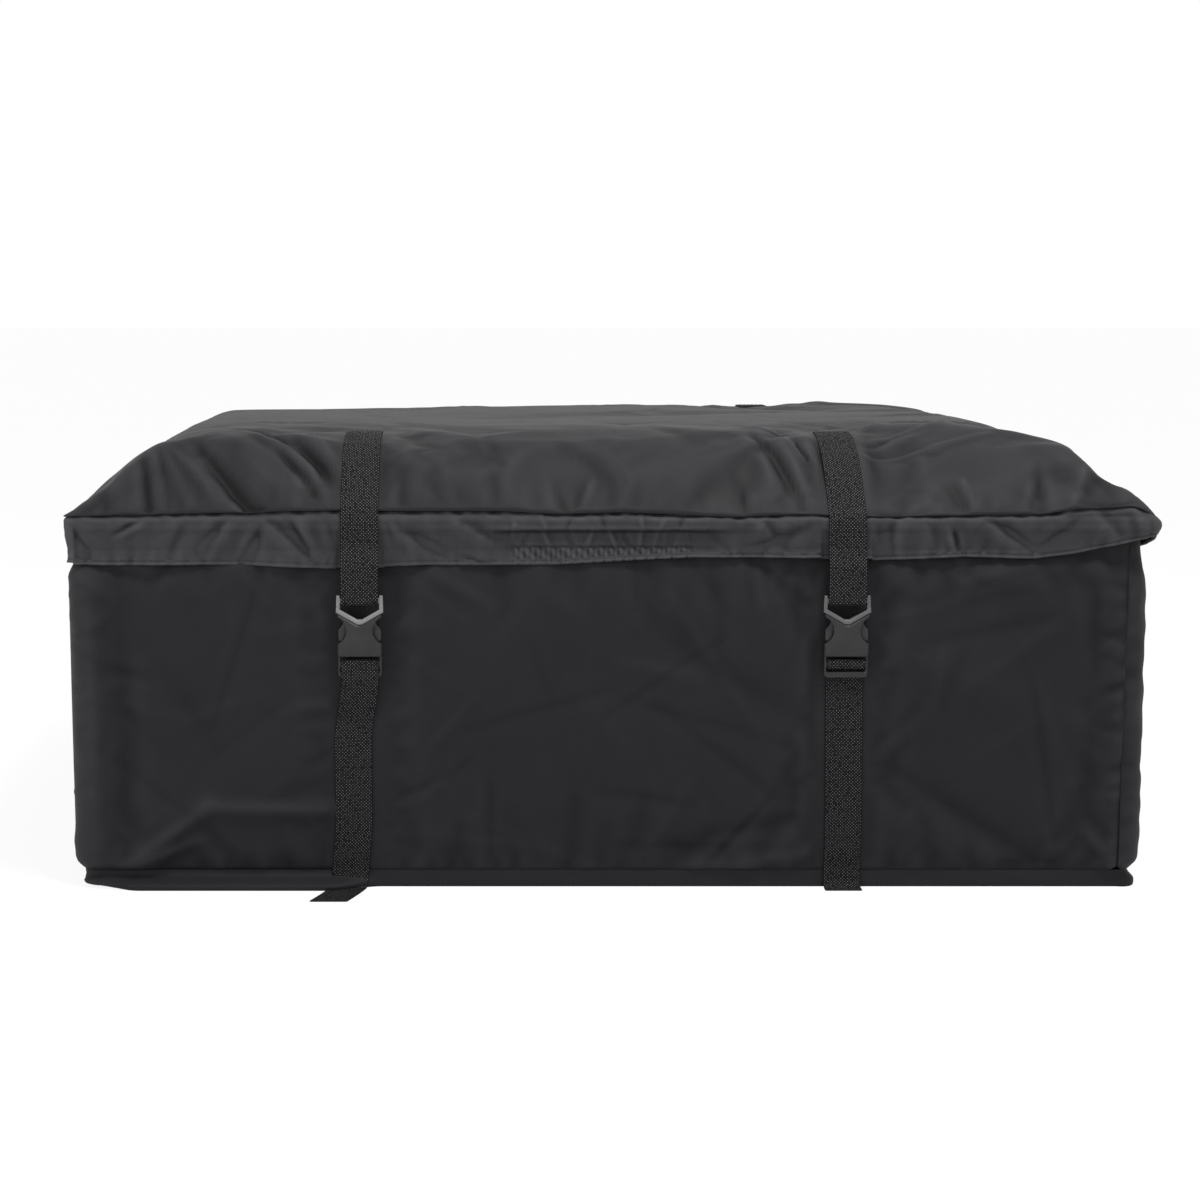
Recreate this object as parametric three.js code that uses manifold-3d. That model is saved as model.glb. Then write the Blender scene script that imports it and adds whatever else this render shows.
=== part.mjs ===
// Soft cargo bag for a car roof, in millimetres, with +Z up.
// The front is -Y, +X is to the right as seen from the front, and z = 0 is the underside of the base.
import * as THREE from 'three';
import { mergeVertices } from 'three/addons/utils/BufferGeometryUtils.js';
import Module from 'manifold-3d';

const wasm = await Module();
wasm.setup();

// Body of the bag
const bagLength = 1090;
const bagDepth = 860;
const cornerRadius = 16;
const clothThickness = 1.6;
const seamGap = 0.3; // between pieces that touch
const baseEdgeHeight = 18; // the base is turned up to this seam
const wallTopHeight = 373;
const flatBand = 25; // a wall stays flat this far below its top, for the zip
const flatRise = 17; // the wall's top to the lid's seam
const longWallBulge = 12;
const endWallBulge = 15;
const cornerSwell = 6; // how far the load pushes the corner seams out
const baseTurn = 6; // the base's underside lies this far inside the seam
const baseTuckLeft = 28; // more at the left end, where the cloth is tucked under

// Lid
const lidOverhang = 9;
const ridgeRise = 66; // seam to ridge
const crownRise = 12; // ridge to the middle of the top
const endSlopeRun = 79;
const longSlopeRun = 63;
const slopeFullness = 1.18; // 1 is a straight slope, more is rounder
const hipSharpness = 6; // how crisply two slopes meet at a corner
const creaseFade = 14; // the creases die out this near the seam
const lidStep = 46; // widest grid step along the lid's length
const lidStepAcross = 92;

// Widest grid step along each wall
const frontWallStep = 62;
const backWallStep = 100;
const endWallStep = 78;

// Storm flap
const flapDrop = 50;
const flapThickness = 1.2;
const flapCornerRadius = 8;
const flapBackInset = 26; // the flap ends this far short of the back edge
const flapLip = 1.7; // the flap stands this far out just below its seam
const flapLipDrop = 5.7;
const flapBelly = 2; // and this far out in front of the zip slider
const flapUpperOut = 0.6; // out of line at the height of the hook strip's top edge
const flapLowerOut = -1.2; // at its bottom edge
const flapHemOut = 0.4; // and at the hem
const heldHemOut = -1; // the hem, where the hook strip holds the flap in
const holdBeyond = 42; // the hook strip's hold reaches this far past its ends
const holdRun = 34; // and comes on over this length
const longWave = 2.1; // rise of the flap's slower ripple
const longWaveLength = 27; // length of the ripple for each radian
const shortWave = 1.3;
const shortWaveLength = 17;
const flapStep = 52;
const flapSideStep = 82;
const hookStripLength = 180;
const hookStripHeight = 16;
const hookStripDrop = 1.6; // the wall's top to the strips' top edge
const hookStripThickness = 0.9;

// Zip
const zipRise = 7.5; // the wall's top to the middle of the zip
const zipRowGap = 1.9; // between the two coil rows
const coilHeight = 2.2;
const coilThickness = 1.6;
const tapeThickness = 0.8;
const lowerTapeDrop = 14; // how far the lower tape reaches down behind the wall
const zipBackInset = 16; // the zip stops this far short of the back wall
const coilShoulder = 0.4; // height over which the coil thins to the tape
const upperTapeFree = 0.5; // the tape stays upright this far past the slider
const lowerTapeFree = 0.2;
const sliderLength = 10.5;
const sliderHeight = 10.4;
const sliderPlate = 1.1;
const sliderClearance = 0.35;
const sliderRestX = 12;
const sliderPost = 3;
const bridgeRise = 3; // the pull's bridge stands this far off the slider
const bridgeSpan = 7.3;
const bridgeThickness = 0.9;
const bridgeWidth = 2.4;
const pullLength = 30;
const pullWidth = 7;
const pullThickness = 1.2;
const pullBar = 0.65; // half width of the bar at the pull's eye
const pullEyeGap = 0.7; // the eye clears the bridge by this much
const pullNeck = 0.8; // share of the pull's width near its eye

// Straps
const webWidth = 38;
const webThickness = 1.4;
const webCalm = 6; // the cloth lies flat this far beyond each edge of a strap
const strapLeftX = -254;
const strapRightX = 240;
const patchLength = 57; // webbing sewn down on the top, behind the ridge
const edgeStandoff = 1; // the webbing rounds the lid's edge this far off the flap
const edgeDrop = 6; // and within this height, twice
const doubledRise = 12; // the doubled end lies against the front strand this far above the plug's bar
const doubledEnd = 16; // and goes on up for this length
const floorTail = 57; // longest free end on the floor, at the front left
const shortFloorTail = 17;
const footBend = 7; // the webbing leaves the floor this far from the wall
const footRise = 5;
const footGap = 1.5;
const slackBelow = 14; // the webbing stands off the wall from this far below the ladder
const loopedSlackBelow = 40; // and from here where it's looped over both bars
const loopedTail = 12; // end that hangs behind the looped ladder
const footShift = 4; // the lower webbing drifts right by this much at its foot

// Side-release buckle. Heights are measured from the tip of the plug's V shoulder.
const buckleDrop = 93.4; // the wall's top to the tip
const plugWidth = 48;
const plugLegWidth = 4.2;
const plateThickness = 5;
const barChamfer = 0.7; // edges of the bars that the webbing turns on
const shoulderThickness = 11;
const shoulderRise = 12.5; // tip to the corners of the V
const shoulderBand = 5;
const tipFlat = 5;
const frameTaper = 0.6; // the plug's frame narrows by this much on each side
const plugHeight = 29.4;
const plugBarBottom = 21;
const plugBarTop = 27;
const armReach = 17;
const armRoot = 8; // the arms leave the V this far from the middle
const armElbow = 17; // and stand this far out below it
const armHeadLength = 11;
const armHeadWidth = 6.5;
const armGap = 0.8; // between an arm and the socket's side
const bladeWidth = 4.4;
const bladeReach = 27;
const bladeTip = 2;
const shoulderChamfer = 0.9;
const socketWidth = 44.4;
const socketThickness = 12;
const socketLength = 33;
const socketWall = 4.2;
const mouthGap = 0.5;
const cavityGap = 0.4; // above and below the plug's plate
const cavityFloor = 4;
const shellChamfer = 1.4;
const shellFoot = 2; // corners cut off the shell's foot
const biteRadius = 15.5;
const biteDepth = 9;
const biteDrop = 6; // the middle of each side opening is this far below the tip
const slotHeight = 4.5;
const middleBar = 7;
const endBar = 6;
const slotSideGap = 0.8;
const ladderCorner = 4; // rounding of the ladder's foot

// Sizes that follow from these
const halfLength = bagLength / 2;
const halfDepth = bagDepth / 2;
const lidHalfX = halfLength + lidOverhang;
const lidHalfY = halfDepth + lidOverhang;
const calmHalf = webWidth / 2 + webCalm;
const plugHalf = plugWidth / 2;
const socketHalf = socketWidth / 2;
const lidSeamHeight = wallTopHeight + flatRise;
const zipHeight = wallTopHeight + zipRise;
const bulgeTopHeight = wallTopHeight - flatBand;
const buckleTipHeight = wallTopHeight - buckleDrop;
const hookStripTopHeight = wallTopHeight - hookStripDrop;
const hookStripBottomHeight = hookStripTopHeight - hookStripHeight;

const clamp01 = (t) => Math.min(1, Math.max(0, t));
const smooth = (t) => clamp01(t) ** 2 * (3 - 2 * clamp01(t));

// Inside a strap's width the cloth takes the height that it has at the strap's middle.
function calmed(x) {
  const strap = [strapLeftX, strapRightX].find((s) => Math.abs(x - s) < calmHalf + 0.01);
  return strap ?? x;
}

// A soft crease: full height along its line, gone about two widths away.
function crease(u, v, { from, to, width, height }) {
  const du = to[0] - from[0];
  const dv = to[1] - from[1];
  const t = clamp01(((u - from[0]) * du + (v - from[1]) * dv) / (du * du + dv * dv));
  const distance = Math.hypot(u - from[0] - t * du, v - from[1] - t * dv);
  return height * Math.exp(-((distance / width) ** 2));
}

// Evenly spaced lines, with each fixed line put in place of the ones too near it.
function gridLines(from, to, step, fixed) {
  const count = Math.max(2, Math.round((to - from) / step));
  const even = Array.from({ length: count + 1 }, (_, i) => from + ((to - from) * i) / count);
  const own = fixed.filter((f) => f > from + 1 && f < to - 1);
  const kept = even.filter((v, i) => i === 0 || i === count || own.every((f) => Math.abs(f - v) > step * 0.4));
  return [...new Set([...kept, ...own])].sort((a, b) => a - b);
}

// Merges shared vertices and turns the faces outward.
function closedBody(geometry) {
  geometry.deleteAttribute('normal');
  geometry.deleteAttribute('uv');
  const merged = mergeVertices(geometry, 1e-4);
  const p = merged.attributes.position;
  const index = merged.index.array;
  const a = new THREE.Vector3();
  const b = new THREE.Vector3();
  const c = new THREE.Vector3();
  let volume = 0;
  for (let i = 0; i < index.length; i += 3) {
    a.fromBufferAttribute(p, index[i]);
    b.fromBufferAttribute(p, index[i + 1]);
    c.fromBufferAttribute(p, index[i + 2]);
    volume += a.dot(b.cross(c));
  }
  if (volume < 0) index.reverse();
  merged.computeVertexNormals();
  return merged;
}

function bodyFrom(points, index) {
  const geometry = new THREE.BufferGeometry().setFromPoints(points);
  geometry.setIndex(index);
  return closedBody(geometry);
}

// A thin closed body between two grids of points with the same rows and columns.
function shellBetween(outer, inner) {
  const rows = outer.length;
  const columns = outer[0].length;
  const at = (layer, i, j) => (layer * rows + i) * columns + j;
  const index = [];
  const quad = (a, b, c, d) => index.push(a, b, c, a, c, d);
  for (let i = 0; i < rows - 1; i++) {
    for (let j = 0; j < columns - 1; j++) {
      quad(at(0, i, j), at(0, i, j + 1), at(0, i + 1, j + 1), at(0, i + 1, j));
      quad(at(1, i, j), at(1, i + 1, j), at(1, i + 1, j + 1), at(1, i, j + 1));
    }
    quad(at(0, i, 0), at(0, i + 1, 0), at(1, i + 1, 0), at(1, i, 0));
    quad(at(0, i + 1, columns - 1), at(0, i, columns - 1), at(1, i, columns - 1), at(1, i + 1, columns - 1));
  }
  for (let j = 0; j < columns - 1; j++) {
    quad(at(0, 0, j + 1), at(0, 0, j), at(1, 0, j), at(1, 0, j + 1));
    quad(at(0, rows - 1, j), at(0, rows - 1, j + 1), at(1, rows - 1, j + 1), at(1, rows - 1, j));
  }
  return bodyFrom([...outer.flat(), ...inner.flat()], index);
}

// A closed body through a stack of rings, each end closed by a flat fan.
function stackedRings(rings) {
  const n = rings[0].length;
  const centre = (ring) => ring.reduce((sum, p) => sum.add(p), new THREE.Vector3()).divideScalar(n);
  const points = [...rings.flat(), centre(rings[0]), centre(rings.at(-1))];
  const first = rings.length * n;
  const index = [];
  for (let k = 0; k < n; k++) {
    const next = (k + 1) % n;
    for (let r = 0; r < rings.length - 1; r++) {
      const a = r * n + k;
      const b = r * n + next;
      index.push(a, b, b + n, a, b + n, a + n);
    }
    index.push(first, next, k);
    index.push(first + 1, first - n + k, first - n + next);
  }
  return bodyFrom(points, index);
}

// Solids for cutting and joining
function solidFrom(geometry) {
  const body = closedBody(geometry);
  const vertProperties = new Float32Array(body.attributes.position.array);
  const triVerts = new Uint32Array(body.index.array);
  return new wasm.Manifold(new wasm.Mesh({ numProp: 3, vertProperties, triVerts }));
}

function geometryFrom(solid) {
  const { vertProperties, triVerts } = solid.getMesh();
  const geometry = new THREE.BufferGeometry();
  geometry.setAttribute('position', new THREE.BufferAttribute(new Float32Array(vertProperties), 3));
  geometry.setIndex(new THREE.BufferAttribute(new Uint32Array(triVerts), 1));
  geometry.computeVertexNormals();
  return geometry;
}

const shapeOf = (corners) => new THREE.Shape(corners.map(([x, y]) => new THREE.Vector2(x, y)));

// An outline in X and Z, given thickness along Y about y = 0, with an optional chamfer.
function uprightPlate(shape, thickness, chamfer = 0) {
  const geometry = new THREE.ExtrudeGeometry(shape, {
    depth: thickness - 2 * chamfer,
    bevelEnabled: chamfer > 0,
    bevelThickness: chamfer,
    bevelSize: chamfer,
    bevelOffset: -chamfer,
    bevelSegments: 1,
    curveSegments: 6,
  });
  return geometry.translate(0, 0, chamfer - thickness / 2).rotateX(Math.PI / 2);
}

// A run of points moved sideways by a distance, with mitred corners.
function offsetLine(points, distance) {
  return points.map((p, i) => {
    const before = points[Math.max(0, i - 1)];
    const after = points[Math.min(points.length - 1, i + 1)];
    const a = (i === 0 ? after.clone().sub(p) : p.clone().sub(before)).normalize();
    const b = (i === points.length - 1 ? a.clone() : after.clone().sub(p)).normalize();
    const mitre = a.clone().add(b).normalize();
    const stretch = 1 / Math.max(0.5, mitre.dot(a));
    return new THREE.Vector2(mitre.y, -mitre.x).multiplyScalar(distance * stretch).add(p);
  });
}

// Webbing laid on a contact line. Points are (outward, up), and the webbing lies on the line's right.
function webbing(line, x, side, drift = () => 0) {
  const points = line.map(([out, up]) => new THREE.Vector2(out, up));
  const near = offsetLine(points, seamGap);
  const far = offsetLine(points, seamGap + webThickness);
  const outline = new THREE.Shape([...near, ...far.reverse()]);
  const geometry = new THREE.ExtrudeGeometry(outline, { depth: webWidth, bevelEnabled: false });
  const p = geometry.attributes.position;
  for (let i = 0; i < p.count; i++) {
    const [out, up, across] = [p.getX(i), p.getY(i), p.getZ(i)];
    p.setXYZ(i, x + across - webWidth / 2 + drift(up), side * out, up);
  }
  return closedBody(geometry);
}

// Lid surface
const lidCreases = [
  { from: [-425, -372], to: [-352, -432], width: 22, height: -6 },
  { from: [-392, -366], to: [-330, -428], width: 20, height: 4 },
  { from: [-318, -366], to: [-286, -418], width: 22, height: -5 },
  { from: [-505, -404], to: [-440, -340], width: 26, height: 3 },
  { from: [-380, -318], to: [-330, -336], width: 24, height: 3 },
  { from: [60, -362], to: [176, -374], width: 26, height: 5 },
  { from: [176, -374], to: [214, -350], width: 18, height: 6 },
  { from: [240, -392], to: [325, -378], width: 46, height: -19 }, // pulled down by the right strap
  { from: [325, -378], to: [410, -374], width: 40, height: -7 },
  { from: [300, -290], to: [455, -352], width: 24, height: 5 },
  { from: [392, -436], to: [404, -398], width: 24, height: -4 },
  { from: [-80, -436], to: [-76, -404], width: 24, height: -4 },
  { from: [142, -436], to: [150, -404], width: 24, height: -4 },
  { from: [-120, -120], to: [120, 60], width: 70, height: -7 },
  { from: [320, 366], to: [346, 380], width: 16, height: 3 },
];

// Rise of a slope at a distance in from its edge, rounded over into the ridge.
const slope = (inset, run) => 1 - (1 - clamp01(inset / run)) ** slopeFullness;

function lidSurface(xTrue, y) {
  const x = calmed(xTrue);
  const endRise = slope(lidHalfX - Math.abs(xTrue), endSlopeRun);
  const longRise = slope(lidHalfY - Math.abs(y), longSlopeRun);
  const blend = (endRise ** hipSharpness + longRise ** hipSharpness) / 2;
  const hip = blend > 0 ? (endRise * longRise) / blend ** (1 / hipSharpness) : 0;
  const across = 1 - clamp01(Math.abs(x) / (lidHalfX - endSlopeRun)) ** 2;
  const along = 1 - clamp01(Math.abs(y) / (lidHalfY - longSlopeRun)) ** 2;
  const edgeFade = smooth(Math.min(lidHalfX - Math.abs(x), lidHalfY - Math.abs(y)) / creaseFade);
  const creases = lidCreases.reduce((sum, c) => sum + crease(x, y, c), 0);
  return lidSeamHeight + ridgeRise * hip + crownRise * Math.sqrt(across * along) + edgeFade * creases;
}

// Insets of the grid lines that follow the slopes and the ridge
const slopeInsets = (run) => [0.19, 0.44, 0.72, 1, 1.35].map((share) => share * run);
const strapEdges = [strapLeftX, strapRightX].flatMap((s) => [s - calmHalf, s + calmHalf]);
const endLines = slopeInsets(endSlopeRun).flatMap((d) => [d - lidHalfX, lidHalfX - d]);
const longLines = slopeInsets(longSlopeRun).flatMap((d) => [d - lidHalfY, lidHalfY - d]);
const patchStart = lidHalfY - longSlopeRun - patchLength;
const lidLinesX = gridLines(-lidHalfX, lidHalfX, lidStep, [...strapEdges, ...endLines]);
const lidLinesY = gridLines(-lidHalfY, lidHalfY, lidStepAcross, [...longLines, -patchStart, patchStart]);

function lidPanel() {
  const outer = lidLinesX.map((x) => lidLinesY.map((y) => new THREE.Vector3(x, y, lidSurface(x, y))));
  const inner = outer.map((row, i) =>
    row.map((p, j) => {
      const last = [outer.length - 1, row.length - 1];
      const onRim = i === 0 || j === 0 || i === last[0] || j === last[1];
      if (onRim) {
        const x = Math.sign(p.x) * Math.min(Math.abs(p.x), lidHalfX - clothThickness);
        const y = Math.sign(p.y) * Math.min(Math.abs(p.y), lidHalfY - clothThickness);
        return new THREE.Vector3(x, y, lidSeamHeight);
      }
      const rise = [outer[i + 1][j].z - outer[i - 1][j].z, row[j + 1].z - row[j - 1].z];
      const run = [outer[i + 1][j].x - outer[i - 1][j].x, row[j + 1].y - row[j - 1].y];
      const steepness = Math.hypot(1, rise[0] / run[0], rise[1] / run[1]);
      return new THREE.Vector3(p.x, p.y, p.z - clothThickness * steepness);
    }),
  );
  return shellBetween(outer, inner);
}

// Walls. Each runs between two corner seams, and its own points are (along, outward, up).
const walls = {
  front: { half: halfLength, distance: halfDepth, bulge: longWallBulge, top: wallTopHeight },
  back: { half: halfLength, distance: halfDepth, bulge: longWallBulge, top: lidSeamHeight - seamGap },
  left: { half: halfDepth, distance: halfLength, bulge: endWallBulge, top: wallTopHeight },
  right: { half: halfDepth, distance: halfLength, bulge: endWallBulge, top: wallTopHeight },
};
walls.front.creases = [
  { from: [43, 269], to: [205, 178], width: 30, height: -4 },
  { from: [75, 52], to: [190, 74], width: 20, height: -3 },
  { from: [-492, 30], to: [-411, 90], width: 22, height: 5 },
  { from: [-411, 90], to: [-300, 88], width: 18, height: 4 },
  { from: [295, 127], to: [457, 52], width: 26, height: -5 },
  { from: [300, 250], to: [420, 205], width: 30, height: 3 },
  { from: [-470, 250], to: [-400, 150], width: 34, height: -4 },
];
walls.back.creases = [
  { from: [-430, 120], to: [-310, 60], width: 30, height: -4 },
  { from: [60, 220], to: [190, 120], width: 34, height: -4 },
];
walls.left.creases = [
  { from: [-300, 240], to: [-160, 120], width: 34, height: -5 },
  { from: [60, 90], to: [260, 70], width: 26, height: 4 },
];
walls.right.creases = [
  { from: [-330, 110], to: [-180, 60], width: 30, height: -5 },
  { from: [40, 260], to: [220, 150], width: 36, height: -4 },
];

const placeOn = {
  front: (along, out, up) => new THREE.Vector3(along, -out, up),
  back: (along, out, up) => new THREE.Vector3(-along, out, up),
  left: (along, out, up) => new THREE.Vector3(-out, -along, up),
  right: (along, out, up) => new THREE.Vector3(out, along, up),
};

// How far a wall stands out from its flat line.
function wallSwell(name, alongTrue, up) {
  const { half, bulge, creases } = walls[name];
  const strapped = name === 'front' || name === 'back';
  const mirrored = name === 'back' ? -1 : 1;
  const along = strapped ? mirrored * calmed(mirrored * alongTrue) : alongTrue;
  const upShare = clamp01((up - baseEdgeHeight) / (bulgeTopHeight - baseEdgeHeight));
  const arch = Math.sin(Math.PI * upShare) ** 0.8;
  const across = 1 - clamp01(Math.abs(along) / half) ** 6;
  const atCorner = cornerSwell * smooth((Math.abs(along) / half - 0.9) / 0.1);
  const folds = creases.reduce((sum, c) => sum + crease(along, up, c), 0);
  return arch * (bulge * across + atCorner + folds * Math.sqrt(across));
}

const wallLinesUp = [0, 0.1, 0.22, 0.36, 0.5, 0.64, 0.78, 0.9, 1].map(
  (share) => baseEdgeHeight + seamGap + share * (bulgeTopHeight - baseEdgeHeight - seamGap),
);

function wallPanel(name, step) {
  const { half, distance, top } = walls[name];
  const straight = half - cornerRadius;
  const mitre = Math.PI / 4 - seamGap / 2 / cornerRadius;
  const corner = [mitre, mitre / 2];
  const strapped = name === 'front' || name === 'back';
  const edges = strapped ? strapEdges.map((x) => (name === 'back' ? -x : x)) : [];
  const stations = [
    ...corner.map((angle) => ({ side: -1, angle, along: -straight })),
    ...gridLines(-straight, straight, step, edges).map((along) => ({ side: 0, angle: 0, along })),
    ...corner.reverse().map((angle) => ({ side: 1, angle, along: straight })),
  ];
  const grid = (depth) =>
    stations.map(({ side, angle, along }) =>
      [...wallLinesUp, top].map((up) => {
        const reach = cornerRadius - depth;
        const edge = along + side * cornerRadius * Math.sin(angle);
        const swell = wallSwell(name, edge, up);
        const l = along + side * (reach + swell) * Math.sin(angle);
        const out = distance - cornerRadius + (reach + swell) * Math.cos(angle);
        return placeOn[name](l, out, up);
      }),
    );
  return shellBetween(grid(0), grid(clothThickness));
}

// Outward place of the front wall's face (side -1) or the back wall's (side 1) at a strap.
const wallFace = (x, side, up) => halfDepth + wallSwell(side < 0 ? 'front' : 'back', -side * x, up);

// Base: a tray with a turned-up edge
function basePanel() {
  const arc = 6;
  const ring = (insetRight, insetLeft, insetLong, up) => {
    const points = [];
    const corners = [
      [1, -1, -Math.PI / 2],
      [1, 1, 0],
      [-1, 1, Math.PI / 2],
      [-1, -1, Math.PI],
    ];
    for (const [sx, sy, start] of corners) {
      const cx = sx * (halfLength - cornerRadius - (sx > 0 ? insetRight : insetLeft));
      const cy = sy * (halfDepth - cornerRadius - insetLong);
      for (let k = 0; k <= arc; k++) {
        const angle = start + ((Math.PI / 2) * k) / arc;
        const r = cornerRadius;
        points.push(new THREE.Vector3(cx + r * Math.cos(angle), cy + r * Math.sin(angle), up));
      }
    }
    return points;
  };
  const t = clothThickness;
  return stackedRings([
    ring(baseTurn, baseTuckLeft, baseTurn, 0),
    ring(0, 0, 0, baseEdgeHeight),
    ring(t, t, t, baseEdgeHeight),
    ring(baseTurn + t, baseTuckLeft + t, baseTurn + t, t),
  ]);
}

// A path round the left end, the front and the right end, with its outward direction.
function frontPath({ halfX, halfY, radius, endY, frontLines, sideStep, arc }) {
  const sideLines = gridLines(-halfY + radius, endY, sideStep, []);
  const path = sideLines.toReversed().map((y) => ({ x: -halfX, y, nx: -1, ny: 0 }));
  const bend = (sx, angle) => ({
    x: sx * (halfX - radius) + radius * Math.cos(angle),
    y: radius - halfY + radius * Math.sin(angle),
    nx: Math.cos(angle),
    ny: Math.sin(angle),
  });
  const steps = Array.from({ length: arc - 1 }, (_, k) => (k + 1) / arc);
  path.push(...steps.map((s) => bend(-1, Math.PI * (1 + s / 2))));
  path.push(...frontLines.map((x) => ({ x, y: -halfY, nx: 0, ny: -1 })));
  path.push(...steps.map((s) => bend(1, Math.PI * (1.5 + s / 2))));
  path.push(...sideLines.map((y) => ({ x: halfX, y, nx: 1, ny: 0 })));
  return path;
}

// A strip along a path. rows(station) lists its section's rows as [outward, up, thickness].
function pathStrip(path, rows) {
  const grid = (side) =>
    path.map((s) =>
      rows(s).map(([out, up, thickness]) => {
        const d = out + (side * thickness) / 2;
        return new THREE.Vector3(s.x + s.nx * d, s.y + s.ny * d, up);
      }),
    );
  return shellBetween(grid(1), grid(-1));
}

// Storm flap, with a wavy hem, held in by the hook strip in the middle of the front
const hemShares = [-1.02, -0.93, -0.57, -0.29, -0.09, 0.17, 0.35, 0.51, 0.79, 0.9, 1.02];
const hemRises = [1, -1, 4, -3, -3, 5, 7, -6, -5, 2, 15];
const flapLine = lidHalfY - (clothThickness - flapThickness) / 2 - flapThickness / 2;
const hookStack = 3 * seamGap + 2 * hookStripThickness; // wall to flap where the strips are closed
const flapPinch = flapLine - flapThickness / 2 - hookStack - halfDepth;

// Height of the hem at a share of the flap's half length, read between the listed rises.
function hemHeight(share) {
  const k = Math.max(1, hemShares.findIndex((p) => p >= share));
  const t = smooth((share - hemShares[k - 1]) / (hemShares[k] - hemShares[k - 1]));
  return lidSeamHeight - flapDrop + hemRises[k - 1] + t * (hemRises[k] - hemRises[k - 1]);
}

function flapRows({ x: xTrue, y, ny }) {
  const onFront = ny < -0.5;
  const x = onFront ? calmed(xTrue) : xTrue;
  const held = onFront ? smooth((hookStripLength / 2 + holdBeyond - Math.abs(x)) / holdRun) : 0;
  const s = onFront ? x : y;
  const wave = longWave * Math.sin(s / longWaveLength + 0.6) + shortWave * Math.sin(s / shortWaveLength + 2);
  const hem = onFront ? hemHeight(x / lidHalfX) : hemHeight(Math.sign(xTrue)) + wave;
  const top = lidSeamHeight - seamGap;
  const clear = zipHeight - sliderHeight / 2 + flapLip;
  const blend = (free, pinched) => free + held * (pinched - free);
  const t = flapThickness;
  return [
    [0, top, t],
    [flapLip, top - flapLipDrop, t],
    [flapBelly, clear, t],
    [blend(flapUpperOut + 0.2 * wave, -flapPinch), hookStripTopHeight + seamGap, t],
    [blend(flapLowerOut + 0.4 * wave, -flapPinch), hookStripBottomHeight - seamGap, t],
    [blend(flapHemOut + wave, heldHemOut + 0.4 * wave), hem, t],
  ];
}

const flapSide = flapLine - lidHalfY + lidHalfX;
const flapFront = flapSide - flapCornerRadius;
const holdLines = [hookStripLength / 2, hookStripLength / 2 + holdBeyond];
const flapPath = frontPath({
  halfX: flapSide,
  halfY: flapLine,
  radius: flapCornerRadius,
  endY: lidHalfY - flapBackInset,
  frontLines: gridLines(-flapFront, flapFront, flapStep, [...strapEdges, ...holdLines.flatMap((x) => [-x, x])]),
  sideStep: flapSideStep,
  arc: 3,
});

// Hook strip on the flap and loop strip on the wall, closed on each other
function stripAt(out) {
  const rows = () => [
    [out, hookStripBottomHeight, hookStripThickness],
    [out, hookStripTopHeight, hookStripThickness],
  ];
  const half = hookStripLength / 2;
  return pathStrip([-half, half].map((x) => ({ x, y: 0, nx: 0, ny: -1 })), rows);
}
const flapInnerFace = flapLine - flapPinch - flapThickness / 2;
const hookStripLine = flapInnerFace - seamGap - hookStripThickness / 2;
const loopStripLine = halfDepth + seamGap + hookStripThickness / 2;

// Zip: two tapes with a coil row on each facing edge
const zipPath = frontPath({
  halfX: halfLength,
  halfY: halfDepth,
  radius: cornerRadius,
  endY: halfDepth - cornerRadius - zipBackInset,
  frontLines: [cornerRadius - halfLength, 0, halfLength - cornerRadius],
  sideStep: bagDepth,
  arc: 4,
});

const upperCoil = zipHeight + zipRowGap / 2;
const tapeTop = lidSeamHeight - seamGap;
const upperTapeRows = () => {
  const behindFlap = flapLine - halfDepth - flapThickness / 2 - seamGap - tapeThickness / 2;
  return [
    [0, upperCoil, coilThickness],
    [0, upperCoil + coilHeight, coilThickness],
    [0, upperCoil + coilHeight + coilShoulder, tapeThickness],
    [0, zipHeight + sliderHeight / 2 + upperTapeFree, tapeThickness],
    [behindFlap, tapeTop, tapeThickness],
  ];
};

const lowerCoil = zipHeight - zipRowGap / 2;
const lowerTapeRows = () => {
  const behindWall = -clothThickness - seamGap - tapeThickness / 2;
  return [
    [0, lowerCoil, coilThickness],
    [0, lowerCoil - coilHeight, coilThickness],
    [0, lowerCoil - coilHeight - coilShoulder, tapeThickness],
    [0, zipHeight - sliderHeight / 2 - lowerTapeFree, tapeThickness],
    [behindWall, wallTopHeight + seamGap, tapeThickness],
    [behindWall, wallTopHeight - lowerTapeDrop, tapeThickness],
  ];
};

// Zip slider: two plates joined by a post between the coil rows, with a bridge for the pull
const plateFront = coilThickness / 2 + sliderClearance + sliderPlate;

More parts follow.
